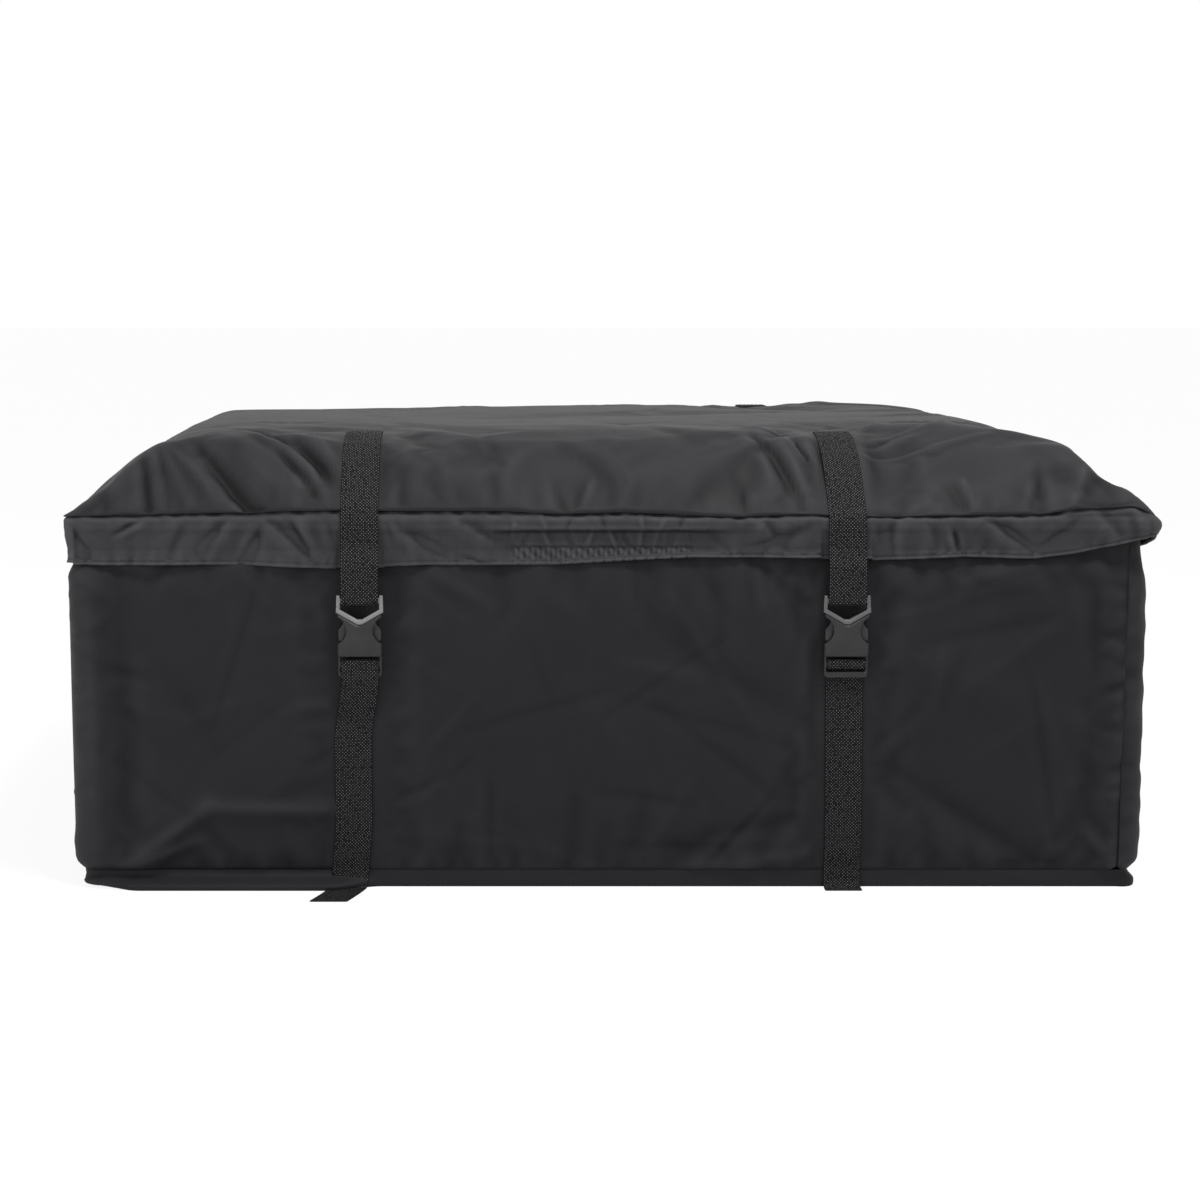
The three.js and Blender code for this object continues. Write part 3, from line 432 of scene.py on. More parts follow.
def webFinish(name, dark, light):
    # woven webbing: pale flecks where the coarse threads come up
    material, shader, wires = newFinish(name, 0.75, 0.06)
    uv = wires.node("ShaderNodeUVMap", {"uv_map": "cloth"})
    cross = wires.checks(uv, weave["pitch"])
    fine = wires.checks(uv, weave["pitch"], 2, 3)
    fleck = wires.noise(uv, 380.0, 1.0)
    worn = wires.noise(uv, 24.0, 4.0)
    high = (cross * 2 - 1).maths("MAXIMUM", 0.0)
    often = (fleck * 5 - 1.9 + worn * 0.5).maths("MAXIMUM", 0.0).maths("MINIMUM", 1.0)
    feed(shader, "Base Color", wires.mixed(high * often + 0.02, dark, light))
    feed(shader, "Roughness", 0.62 + fleck * 0.2)
    feed(shader, "Normal", wires.bump(cross + fine * 0.25 + fleck * 0.5, 0.6, 0.0005))
    return material


def solidFinish(name, dark, light, roughness, specular=0.5, metallic=0.0, bump=0.08, pale=None):
    # pieces on object coordinates, worn pale and given a painted highlight where their "wear" value says so
    material, shader, wires = newFinish(name, roughness, specular, metallic=metallic)
    place = wires.node("ShaderNodeTexCoord", None, None, out=3)
    grain = wires.noise(place, 600.0, 3.0)
    patch = wires.noise(place, 60.0, 3.0)
    colour = wires.mixed(grain * 0.4 + patch * 0.4, dark, light)
    if pale:
        # the pale colour goes on worn edges and on painted highlights
        wear_and_highlight = wires.node("ShaderNodeAttribute", {"attribute_name": "wear_and_highlight"}, None, out=2)
        colour = wires.mixed((wear_and_highlight * (patch * 0.5 + 0.75)).maths("MINIMUM", 1.0), colour, pale)
    feed(shader, "Base Color", colour)
    feed(shader, "Roughness", roughness - 0.06 + grain * 0.12)
    feed(shader, "Normal", wires.bump(grain, bump, 0.0002))
    return material


# in the cloth finishes the last setting is how strongly shade and highlight are painted along the folds
finishes = {
    "cloth": clothFinish("cloth", (0.0055, 0.0055, 0.0068), (0.017, 0.017, 0.0185), 0.6, 0.08,
                         wrinkles=0.05, paintedFoldShade=6),
    "flap": clothFinish("flap", (0.0075, 0.0075, 0.0085), (0.0415, 0.0415, 0.0445), 0.56, 0.1,
                        wrinkles=0.5, paintedFoldShade=3.4),
    "lid": clothFinish("lid", (0.0033, 0.0033, 0.0039), (0.023, 0.023, 0.0252), 0.56, 0.1,
                       wrinkles=0.25, paintedFoldShade=5.5),
    "webbing": webFinish("webbing", (0.0028, 0.0028, 0.0031), (0.15, 0.15, 0.152)),
    "thread": solidFinish("thread", (0.006, 0.006, 0.0065), (0.02, 0.02, 0.021), 0.7, 0.3, bump=0.3),
    # plastic: its pale colour is both real wear and painted highlight on the buckles' edges and V band
    "plastic": solidFinish("plastic", (0.0045, 0.0045, 0.005), (0.009, 0.009, 0.0095), 0.4, 0.1,
                           pale=(0.15, 0.15, 0.152)),
    "metal": solidFinish("metal", (0.03, 0.03, 0.032), (0.06, 0.06, 0.062), 0.35, metallic=0.8),
    "tape": solidFinish("tape", (0.008, 0.008, 0.0085), (0.02, 0.02, 0.021), 0.75, bump=0.4),
}


def dress(obj, finish):
    obj.data.materials.clear()
    obj.data.materials.append(finishes[finish])


def rest(obj, finish, slot, *nodes, body="root"):
    dress(obj, finish)
    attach(obj, body)
    if nodes:
        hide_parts(*nodes)


# Lid: one domed panel with soft slopes, a sharp ridge and creases at the corners
lid = {
    "cells": (130, 88),
    "ridgeRise": 66.0,
    "crownRise": 0.5,
    "endRun": 80.0,
    "leftRun": 92.0,
    "longRun": 63.0,
    "endRoundness": 1.0,  # 1 is a straight slope, more is rounder
    "leftRoundness": 0.86,
    "longRoundness": 1.18,
    "softRidge": 0.55,  # rounder still in the middle of the front
    "softFrom": (-250, 60),  # place and length of a fade
    "softTo": (150, 90),
    "hip": 6,
    "puff": 9.0,  # the top swells behind the front ridge
    "puffFrom": (-392, 60),
    "puffTo": (260, 420),
    "puffEnds": (482, 70),
    "rimReach": 60,
    "strapsFrom": 300,  # the straps lie on the lid from here to its edge
    "looseHold": 0.05,
    "frames": 24,
    "thickness": 1.2,
    "growth": 0.009,
    "pressure": 0.12,
    "cap": 5.0,
    "seamAt": [-554, -541, -274, -193, -107, -53, 10, 127, 192, 258, 298, 437, 472, 530, 554],
    "seamRises": [-1, -1, 5, 4, 4, 1, 3, -2, 1, -1, -1, 1, 6, 10, -3],
}
# from x, y to x, y, width, height and edge, 2 for a soft one
lidFolds = [
    (-392, -372, -330, -424, 15, 5, 1.7),
    (-505, -404, -440, -340, 16, 3, 1.6),
    (-380, -318, -330, -336, 8, 3, 1.3),
    (-360, -352, -284, -372, 12, 3.5, 1.5),
    (-216, -368, -60, -352, 16, 2.5, 1.7),
    (-120, -300, 60, -318, 22, 3, 1.6),
    (60, -362, 176, -374, 22, 4, 1.5),
    (172, -378, 208, -352, 12, 7, 1.3),
    (472, 370, 500, -300, 50, -11, 2.0),
    (-150, 380, 150, 380, 90, -4, 2.0),
    (240, -392, 325, -378, 42, -19, 2.0),
    (325, -378, 410, -374, 38, -7, 2.0),
    (300, -290, 455, -352, 20, 7, 1.5),
    (290, -404, 500, -404, 22, -5, 2.0),
    (512, -428, 516, -290, 22, -9, 2.0),
    (-120, -120, 120, 60, 70, -6, 2.0),
    (-554, 376, -400, 350, 120, -10, 2.0),
    (-400, 350, -150, 376, 90, -7, 2.0),
]
# the same, for the creases that stay sharp
lidCreases = [
    (-455, -383, -398, -432, 4.5, 2.6, 1.5),
    (-464, -382, -428, -434, 3.5, 1.8, 1.5),
    (-465, -381, -447, -436, 4, -2.2, 1.5),
    (-490, -388, -508, -425, 5, 2.2, 1.5),
    (-500, -394, -524, -430, 5, -2.2, 1.5),
    (-425, -372, -380, -410, 4, 1.8, 1.5),
    (-382, -224, -330, -238, 4, 2.4, 1.3),
    (-340, -226, -300, -220, 5, -1.4, 1.4),
    (262, -366, 340, -330, 4, 3.0, 1.3),
    (270, -376, 400, -352, 4, 3.0, 1.3),
    (250, -330, 330, -250, 4, 3.0, 1.3),
    (262, -352, 380, -300, 4, 3.0, 1.3),
    (222, -336, 300, -322, 3, 2.6, 1.3),
    (140, -330, 200, -342, 4, 2.4, 1.3),
    (330, -214, 440, -262, 6, 3.2, 1.3),
    (320, -120, 410, -60, 6, 3.2, 1.3),
    (300, 40, 440, 120, 8, 3.2, 1.3),
    (320, 366, 346, 380, 16, 3, 1.8),
    (369, -437, 361, -412, 4, 3.0, 1.5),
    (361, -436, 346, -416, 5, -3.0, 1.5),
    (419, -437, 431, -416, 4, 3.0, 1.5),
    (438, -437, 441, -402, 5, -3.6, 1.5),
    (470, -437, 490, -404, 7, 3.4, 1.5),
    (-47, -437, -56, -420, 3.2, -2.8, 1.5),
    (-31, -437, -18, -418, 3.2, 2.8, 1.5),
    (137, -437, 131, -414, 5, -3.6, 1.5),
    (10, -437, 22, -424, 6, 2.0, 1.5),
    (-226, -437, -214, -420, 5, 2.2, 1.5),
]
lidTucks = [
    (-412, -386, -344, -436, 11, -13),
    (-336, -384, -292, -428, 6, -5.5),
    (-316, -370, -272, -416, 9, -12),
    (-372, -352, -330, -380, 7, 5),
    (-474, -386, -460, -437, 9, -4.5),
    (-250, -372, -226, -398, 9, 2.5),
    (160, -366, 200, -428, 10, -9),
    (212, -364, 222, -424, 7, 9),
    (190, -376, 207, -400, 6, 6),
    (452, -384, 505, -428, 14, -3.5),
    (100, -372, 60, -330, 18, 3),
]


def rimRise(x, y):
    # the lid's seam waves a little along the front and lifts at the right corner
    return np.interp(x, lid["seamAt"], lid["seamRises"]) * smooth((-y - 240) / 190)


def lidHeight(x, y):
    # the same dome as the solid, with finer folds
    flat = calmed(x)
    fromEnd, fromFront = bag["lidHalfX"] - np.abs(x), bag["lidHalfY"] - np.abs(y)
    ex = clamp01(fromEnd / np.where(x < 0, lid["leftRun"], lid["endRun"]))
    ey = clamp01(fromFront / lid["longRun"])
    soft = lid["softRidge"] * rising(flat, *lid["softFrom"]) * falling(flat, *lid["softTo"]) * (y < 0)
    endRise = 1 - (1 - ex) ** np.where(x < 0, lid["leftRoundness"], lid["endRoundness"])
    longRise = 1 - (1 - ey) ** (lid["longRoundness"] + soft)
    blend = np.maximum((endRise ** lid["hip"] + longRise ** lid["hip"]) / 2, 1e-12)
    hip = endRise * longRise / blend ** (1 / lid["hip"])
    across = 1 - clamp01(np.abs(flat) / (bag["lidHalfX"] - lid["endRun"])) ** 2
    along = 1 - clamp01(np.abs(y) / (bag["lidHalfY"] - lid["longRun"])) ** 2
    inset = np.minimum(fromEnd, fromFront)
    folds = sum(foldLine(flat, y, *f) for f in lidFolds)
    rim = rimRise(x, y) * (1 - clamp01(inset / lid["rimReach"]))
    dome = lid["ridgeRise"] * hip + lid["crownRise"] * np.sqrt(across * along)
    puff = rising(y, *lid["puffFrom"]) * falling(y, *lid["puffTo"]) * falling(np.abs(x), *lid["puffEnds"])
    return bag["seam"] + dome + lid["puff"] * puff + smooth(inset / 5) * folds + rim


def crowdFront(v):
    # a quarter of the rows lie on the front slope, where the folds are
    half = bag["lidHalfY"]
    return np.interp(v / half, [-1, -0.5, 1], [-1, -0.77, 1]) * half


def makeLid():
    obj = gridSheet("lid", *lid["cells"])
    hx, hy = bag["lidHalfX"], bag["lidHalfY"]
    u, v = formSheet(obj, (-hx, hx), (-hy, hy), lambda x, y: (x, y, lidHeight(x, y)), crowd=crowdFront)
    inset = np.minimum(hx - np.abs(u), hy - np.abs(v))
    strapped = (1 - strapFree(u)) * (np.abs(v) > lid["strapsFrom"])
    hold = np.maximum(np.where(inset < 2, 1.0, lid["looseHold"]), strapped)
    settle(obj, hold, lid["frames"], lid["pressure"], lid["growth"], lid["cap"])
    finerGrid(obj)
    points = readPoints(obj.data) / mm
    x, y = points[:, 0], points[:, 1]
    fromEnd, fromFront = hx - np.abs(x), hy - np.abs(y)
    inset = np.minimum(fromEnd, fromFront)
    free = strapFree(x) + (np.abs(y) < lid["strapsFrom"]) * (1 - strapFree(x))
    fine = scatterFolds(x, y, seed=3, count=110, span=(-540, 540, -440, 440),
                        reach=(30, 130), width=(4, 9), height=(0.4, 1.6))
    fine += gathers(x, fromFront, seed=5, span=(-540, 540), pitch=13, height=1.5, reach=13)
    fine += gathers(x, fromFront, seed=15, span=(-540, 540), pitch=46, height=2.2, reach=34)
    fine += gathers(y, fromEnd, seed=6, span=(-430, 430), pitch=24, height=2.0, reach=26)
    creases = sum(foldLine(x, y, *f) for f in lidCreases) + sum(tuckLine(x, y, *f) for f in lidTucks)
    creases = creases * (0.25 + 0.75 * strapFree(x)) * smooth(inset / 3.5)
    points[:, 2] += fine * free * smooth(inset / 7) + creases
    writePoints(obj.data, points * mm)
    markFoldShading(obj)
    thicken(obj, lid["thickness"])
    shadeSmooth(obj)
    rest(obj, "lid", "cloth", "lid_panel")


# Walls: four panels between the corner seams, drawn in at the seams
wall = {
    "cell": 8.0,
    "thickness": 1.2,
    "frames": 20,
    "looseHold": 0.03,
    "pressure": 0.3,
    "growth": 0.008,
    "cap": 5.0,
    "arch": 0.8,  # below 1 the wall stands out over more of its height
    "rightArch": 0.4,
    "leftSwell": 12.0,  # how far the corner seams are pushed out
    "rightSwell": 9.0,
    "groove": 2.2,
}
walls = {
    "front": {"half": 545.0, "distance": 430.0, "bulge": 12.0, "top": 373.0, "turns": (90, 0)},
    "back": {"half": 545.0, "distance": 430.0, "bulge": 12.0, "top": 389.7, "turns": (45, 45)},
    "left": {"half": 430.0, "distance": 545.0, "bulge": 15.0, "top": 373.0, "turns": (45, 0)},
    "right": {"half": 430.0, "distance": 545.0, "bulge": 15.0, "top": 373.0, "turns": (90, 45)},
}
walls["front"]["folds"] = [
    (43, 269, 205, 178, 26, -4, 1.5),
    (75, 52, 190, 74, 16, -3, 1.5),
    (72, 20, 140, 26, 9, 3, 1.4),
    (140, 26, 223, 42, 9, 3, 1.4),
    (-500, 24, -411, 90, 14, 7, 1.2),
    (-411, 90, -285, 86, 9, 6, 1.2),
    (-492, 26, -420, 54, 9, 4, 1.2),
    (295, 127, 457, 22, 20, -5, 1.4),
    (300, 250, 420, 205, 30, 3, 1.6),
    (-470, 250, -400, 150, 30, -4, 1.5),
    (-541, 330, -505, 306, 7, 2.5, 1.3),
    (-530, 340, -470, 322, 6, -2, 1.3),
    (-180, 330, -120, 300, 8, 2, 1.4),
    (360, 322, 430, 338, 8, 2.2, 1.4),
    (496, 60, 522, 30, 9, 4, 1.3),
]
walls["back"]["folds"] = [
    (-430, 120, -310, 60, 30, -4, 1.6),
    (60, 220, 190, 120, 34, -4, 1.6),
]
walls["left"]["folds"] = [
    (-300, 240, -160, 120, 34, -5, 1.6),
    (60, 90, 260, 70, 26, 4, 1.6),
]
walls["right"]["folds"] = [
    (-330, 110, -180, 60, 30, -5, 1.6),
    (40, 260, 220, 150, 36, -4, 1.6),
]


def wallSwell(name, alongTrue, up):
    # how far the wall stands out from its plane
    w = walls[name]
    mirrored = -1 if name == "back" else 1
    along = mirrored * calmed(mirrored * alongTrue) if name in ("front", "back") else alongTrue
    height = up - bag["baseEdge"]
    share = clamp01(height / (bag["bulgeTop"] - bag["baseEdge"]))
    arch = np.maximum(np.sin(math.pi * share), 0) ** wall["rightArch" if name == "right" else "arch"]
    full = clamp01(height / 8) ** 0.5 * falling(up, bag["bulgeTop"], 24)
    across = 1 - clamp01(np.abs(along) / w["half"]) ** 6
    atLeft = {"front": along < 0, "back": along > 0, "left": True, "right": False}[name]
    corner = np.where(atLeft, wall["leftSwell"], wall["rightSwell"] * (1.45 - 0.95 * share))
    atCorner = corner * smooth((np.abs(along) / w["half"] - 0.9) / 0.1)
    folds = sum(foldLine(along, up, *f) for f in w["folds"])
    return arch * w["bulge"] * across + full * (atCorner + folds * np.sqrt(across))


def wallPoint(name, s, up):
    # s runs along the wall and on round the corner as far as the panel turns
    w = walls[name]
    straight = w["half"] - bag["corner"]
    over = np.maximum(np.abs(s) - straight, 0)
    side = np.sign(s)
    angle = np.minimum(over / bag["corner"], math.pi / 2)
    edge = np.where(over > 0, side * (straight + bag["corner"] * np.sin(angle)), s)
    reach = bag["corner"] + wallSwell(name, edge, up)
    along = np.where(over > 0, side * (straight + reach * np.sin(angle)), s)
    out = w["distance"] - bag["corner"] + reach * np.cos(angle)
    if name == "front":
        return along, -out, up
    if name == "back":
        return -along, out, up
    if name == "left":
        return -out, -along, up
    return out, along, up


def makeWall(name, seed):
    w = walls[name]
    straight = w["half"] - bag["corner"]
    first, last = (straight + bag["corner"] * math.radians(turn) - 0.2 for turn in w["turns"])
    low = bag["baseEdge"] + 0.3
    cells = (round((first + last) / wall["cell"]), round((w["top"] - low) / wall["cell"]))
    obj = gridSheet(name + "_panel", *cells)
    strapped = name in ("front", "back")
    mirrored = -1 if name == "back" else 1

    def fine(s, up):
        ends = np.minimum(first + s, last - s)
        edge = smooth(np.minimum(ends, np.minimum(up - low, w["top"] - up)) / 6)
        total = scatterFolds(s, up, seed, count=80, span=(-first, last, low, w["top"]),
                             reach=(40, 190), width=(5, 13), height=(0.4, 1.6))
        total += gathers(up, ends, seed + 1, span=(low, w["top"]), pitch=19, height=2.6, reach=20)
        total += gathers(s, up - low, seed + 2, span=(-first, last), pitch=22, height=1.8, reach=18)
        total += 0.6 * sum(foldLine(s, up, *f) for f in w["folds"])
        free = strapFree(mirrored * s) if strapped else 1.0
        groove = wall["groove"] * bell(ends, 4) * falling(up, bag["bulgeTop"], 20)
        return total * edge * free - groove

    u, v = formSheet(obj, (-first, last), (low, w["top"]), lambda s, up: wallPoint(name, s, up))
    faceOutward(obj)
    onEdge = np.minimum(np.minimum(first + u, last - u), np.minimum(v - low, w["top"] - v)) < 3
    hold = np.where(onEdge | (v > bag["bulgeTop"] + 4), 1.0, wall["looseHold"])
    if strapped:
        hold = np.maximum(hold, 1 - strapFree(mirrored * u))
    settle(obj, hold, wall["frames"], wall["pressure"], wall["growth"], wall["cap"])
    finerGrid(obj)
    relief(obj, fine)
    markFoldShading(obj)
    thicken(obj, wall["thickness"])
    shadeSmooth(obj)
    rest(obj, "cloth", "cloth", name + "_wall")


# Base: a tray turned up to the bottom seam
base = {
    "cells": 900,
    "rows": 10,
    "around": 3700,  # size of the cloth, round the edge and up it
    "rise": 25,
    "turn": -1.5,  # how far the bottom edge is tucked in
    "tuckLeft": 26.0,
    "frontLeft": 17.0,
    "right": 7.0,
}


def roundedPath(s, halfX, halfY, radius):
    # point and outward direction at a share s of the way round, from the front left corner
    straight = [2 * (halfX - radius), 2 * (halfY - radius)]
    quarter = radius * math.pi / 2
    total = 2 * sum(straight) + 4 * quarter
    d = (s % 1.0) * total
    x, y = np.zeros_like(d), np.zeros_like(d)
    nx, ny = np.zeros_like(d), np.zeros_like(d)
    begin = 0.0
    turns = [(0, straight[0]), (1, straight[1]), (2, straight[0]), (3, straight[1])]
    corners = [(1, -1), (1, 1), (-1, 1), (-1, -1)]
    for k, length in turns:
        a = -math.pi / 2 + k * math.pi / 2
        run = (d >= begin) & (d < begin + length)
        t = d - begin - length / 2
        outX, outY = math.cos(a), math.sin(a)
        far = halfY if k % 2 == 0 else halfX
        x = np.where(run, outX * far - outY * t, x)
        y = np.where(run, outY * far + outX * t, y)
        nx = np.where(run, outX, nx)
        ny = np.where(run, outY, ny)
        begin += length
        bend = (d >= begin) & (d < begin + quarter)
        angle = a + (d - begin) / radius
        cx = corners[k][0] * (halfX - radius)
        cy = corners[k][1] * (halfY - radius)
        x = np.where(bend, cx + radius * np.cos(angle), x)
        y = np.where(bend, cy + radius * np.sin(angle), y)
        nx = np.where(bend, np.cos(angle), nx)
        ny = np.where(bend, np.sin(angle), ny)
        begin += quarter
    return x, y, nx, ny


def basePoint(u, v):
    x, y, nx, ny = roundedPath(u / base["around"], bag["halfLength"], bag["halfDepth"], bag["corner"])
    t = v / base["rise"]
    turn = base["turn"] + (base["tuckLeft"] - base["turn"]) * rising(-x, 485, 58)
    inward = turn * (1 - clamp01(t * 1.15)) ** 1.8 + 2.0 * (1 - t) ** 6
    inward = inward - base["frontLeft"] * rising(-x, 235, 50) * smooth(-ny) * falling(t, 0.85, 0.5)
    inward = inward - base["right"] * rising(x, 470, 60) * smooth(nx) * falling(t, 0.95, 0.5)
    up = bag["baseEdge"] * clamp01(t) ** 1.35
    wave = gathers(u, up, seed=31, span=(0, base["around"]), pitch=30, height=1.2, reach=30)
    wave = wave * np.sin(math.pi * t)
    return x - nx * (inward - wave), y - ny * (inward - wave), up


def makeBase():
    obj = gridSheet("base", base["cells"], base["rows"])
    formSheet(obj, (0, base["around"]), (0, base["rise"]), basePoint)
    bm = bmesh.new()
    bm.from_mesh(obj.data)
    bmesh.ops.remove_doubles(bm, verts=bm.verts, dist=0.00001)
    lowest = [e for e in bm.edges if e.is_boundary and max(p.co.z for p in e.verts) < 0.0005]
    bmesh.ops.edgeloop_fill(bm, edges=lowest)
    bmesh.ops.recalc_face_normals(bm, faces=bm.faces)
    bm.to_mesh(obj.data)
    bm.free()
    thicken(obj, 1.2, even=False)
    shadeSmooth(obj, 50)
    rest(obj, "cloth", "cloth", "base_panel")


# Storm flap: a strip round the front and both ends, with a turned hem
flap = {
    "thickness": 0.8,
    "halfX": bag["lidHalfX"] - 0.8,
    "halfY": bag["lidHalfY"] - 0.8,
    "corner": 8.0,
    "quarter": 8.0 * math.pi / 2,
    "drop": 50.0,
    "backInset": 26.0,
    "steps": [9.0, 2.6, 1.3, 2.6, 9.0],  # cells along the left end, the front's parts and the right end
    "rows": 32,
    "lip": 6.0,  # below the seam
    "lipOut": 1.7,
    "zip": 13.0,  # below the seam
    "zipOut": 2.0,
    "hemTurn": 0.1,  # share of the strip that is turned back inside
    "hemRow": 3.2,  # the stitches above the hem's edge
    "pinch": 4.9,
    "stripHalf": 90.0,
    "stripTop": 371.4,
    "stripBottom": 355.4,
    "hemAt": [-560, -545, -461, -375, -277, -193, -56, 10, 83, 222, 268, 361, 431, 472, 501, 541, 560],
    "hemRises": [-1, -1, -1, -1, -5, -1, -1, 3, 6.5, 6.5, 3.5, 7.5, 5.5, 10.5, 17, 26, 27],
    "stitchTop": 373.4,  # the two stitched rows of the hook strip
    "stitchBottom": 356.9,
    "stitchLeft": -94.0,
    "stitchRight": 79.0,
}
# from x, z to x, z, width and height
flapFolds = [
    (-501, 368, -474, 383, 4.5, 3.2), (-541, 380, -521, 343, 13, -3.5), (-452, 352, -436, 384, 9, -2.4),
    (-415, 345, -383, 386, 8, 3.6), (-376, 342, -358, 378, 7, -3.8), (-352, 384, -312, 350, 9, 3.8),
    (-320, 386, -300, 344, 7, -4.0), (-289, 382, -276, 344, 6, 3.0), (-226, 386, -219, 366, 5, -2.6),
    (-218, 374, -172, 344, 9, 3.2), (-160, 386, -112, 354, 9, 2.6), (-150, 352, -118, 340, 7, -2.2),
    (90, 378, 114, 352, 7, 2.6), (136, 358, 207, 386, 9, -3.2), (150, 386, 172, 356, 8, 2.4),
    (259, 386, 278, 346, 8, 3.8), (293, 388, 285, 350, 8, -3.2), (318, 384, 330, 352, 9, 2.2),
    (345, 374, 351, 352, 4, 3.0), (376, 385, 424, 352, 9, 5.0), (434, 360, 470, 388, 8, -2.6),
    (490, 392, 521, 360, 11, 3.6), (528, 396, 540, 366, 9, -2.6),
]
# puckers between and above the stitched rows of the hook strip
flapPuckers = [
    (-68, 373, -62, 358, 3.2, 1.7), (-43, 372, -38, 358, 3.2, -1.7), (-18, 373, -23, 358, 3.0, 1.8),
    (0, 373, 5, 357, 3.2, 1.9), (14, 372, 19, 358, 2.8, -1.5), (31, 373, 30, 357, 3.4, 1.9),
    (64, 373, 60, 358, 3.6, -1.9), (48, 372, 45, 358, 3.0, 1.3), (-84, 370, -88, 359, 3.4, -1.6),
    (-70, 386, -64, 375, 4, 1.8), (-40, 385, -44, 375, 3.5, -1.2), (-8, 387, -5, 375, 4, -1.8),
    (30, 387, 33, 375, 3.5, 1.9), (55, 385, 50, 375, 4, 1.7), (73, 387, 70, 375, 4, -1.8),
    (-104, 386, -97, 378, 4, 1.8), (-112, 362, -100, 354, 4, -2.0), (-98, 378, -106, 360, 4, 2.2),
]


def flapPathPoint(s):
    # s is millimetres along the strip, 0 in the middle of the front
    halfY, r, quarter = flap["halfY"], flap["corner"], flap["quarter"]
    straight = flap["halfX"] - r
    side = np.sign(s)
    d = np.abs(s)
    onFront = d <= straight
    angle = np.clip((d - straight) / r, 0, math.pi / 2)
    x = np.where(onFront, s, side * (straight + r * np.sin(angle)))
    y = np.where(onFront, -halfY, -halfY + r - r * np.cos(angle))
    y = np.where(d > straight + quarter, -halfY + r + (d - straight - quarter), y)
    nx = np.where(onFront, 0, side * np.sin(angle))
    ny = np.where(onFront, -1, -np.cos(angle))
    return x, y, nx, ny, onFront


def between(value, top, bottom, atTop, atBottom):
    # runs evenly from atTop to atBottom as the value falls from top to bottom
    return atTop + (atBottom - atTop) * clamp01((top - value) / (top - bottom))


def flapProfile(up, hem, wave, held):
    # how far the strip stands out: over the zip, hanging free below it, or drawn in by the hook strip
    lip, zipLow = bag["seam"] - flap["lip"], bag["seam"] - flap["zip"]
    top, bottom = flap["stripTop"] + 0.3, flap["stripBottom"] - 0.3
    last = np.minimum(hem, bottom - 1)
    high, pinch = flap["zipOut"], flap["pinch"]
    outTop, outLow, outHem = 0.6 + 0.2 * wave, -1.2 + 0.4 * wave, 0.4 + wave
    over = flap["lipOut"] * falling(up, bag["seam"], 5.7) + (high - flap["lipOut"]) * falling(up, lip, 7)
    hanging = np.where(
        up > top, between(up, zipLow, top, high, outTop),
        np.where(up > bottom, between(up, top, bottom, outTop, outLow),
                 between(up, bottom, last, outLow, outHem)))
    drawn = np.where(
        up > top, high - (pinch + high) * falling(up, zipLow, zipLow - top),
        np.where(up > bottom, -pinch, between(up, bottom, last, -pinch, -1 + 0.4 * wave)))
    return np.where(up > zipLow, over, hanging + held * (drawn - hanging))


def flapForm(s, t):
    # t is 0 at the lid seam and 1 at the hem's edge; past 1 the cloth turns back inside
    x, y, nx, ny, onFront = flapPathPoint(s)
    flat = np.where(onFront, calmed(x), x)
    held = np.where(onFront, falling(np.abs(flat), flap["stripHalf"] + 42, 34), 0)
    along = np.where(onFront, flat, y)
    wave = 2.1 * np.sin(along / 27 + 0.6) + 1.3 * np.sin(along / 17 + 2)
    rightRise = np.where(x > 0, 4 + 23 * np.exp(-(y + bag["lidHalfY"]) / 70), 0)
    rise = np.where(onFront, np.interp(flat, flap["hemAt"], flap["hemRises"]), rightRise + wave)
    hem = bag["seam"] - flap["drop"] + rise
    top = bag["seam"] - 0.5 + rimRise(x, y)
    down = np.minimum(t, 1)
    up = top + (hem - top) * down
    span = (-1400, 1400)
    folds = sum(tuckLine(flat, up, *f) for f in flapFolds) * onFront
    folds = folds + gathers(s, down * flap["drop"], seed=41, span=span, pitch=15, height=1.3, reach=30)
    folds = folds + gathers(s, (1 - down) * flap["drop"], seed=42, span=span, pitch=14, height=2.2, reach=13)
    sides = scatterFolds(s, up, seed=43, count=60, span=(*span, 340, 390),
                         reach=(25, 60), width=(5, 9), height=(0.8, 2.6))
    loose = np.where(onFront, strapFree(x), 1) * (1 - held * 0.85) * smooth(down / 0.25)
    out = flapProfile(up, hem, wave, held) + (folds + sides * ~onFront) * loose

    # the hook strip's stitched rows, the puckers between them and the ruffled cloth below
    inRows = rising(x, flap["stitchLeft"] - 9, 9) * falling(x, flap["stitchRight"] + 10, 10) * onFront
    puckers = sum(foldLine(flat, up, *f, 1.6) for f in flapPuckers)
    ruffle = 0.45 * np.sin(s / 0.85 + 0.9 * np.sin(s / 9))
    ruffle = ruffle + 0.5 * np.sin(s / 1.9 + up / 2 + 2 * np.sin(s / 17))
    ruffle = ruffle * falling(up, flap["stitchBottom"], 2) * rising(up, hem, 2)
    rows = sum(bell(up - row, 1.3) for row in (flap["stitchTop"], flap["stitchBottom"]))
    out = out + (1.3 * puckers + ruffle - 1.1 * rows) * inRows

    # the raised right corner, then the seam and the hem's stitches, which draw the cloth in
    out = out + 6 * bell(x - 540, 30) * bell(up - 378, 16)
    out = np.maximum(out, -2.1 - 4 * held)
    ticks = 0.6 + 0.4 * np.sin(s / 5.3 + 2 * np.sin(s / 23)) * np.sin(s / 13 + 1)
    rows = 0.8 * bell(up - hem - flap["hemRow"], 1.2) + 5.4 * ticks * bell(top - up, 3.4)
    out = out - np.where(t > 1, 1.3, rows)
    back = np.maximum(t - 1, 0) * 55
    return x + nx * out, y + ny * out, up + back


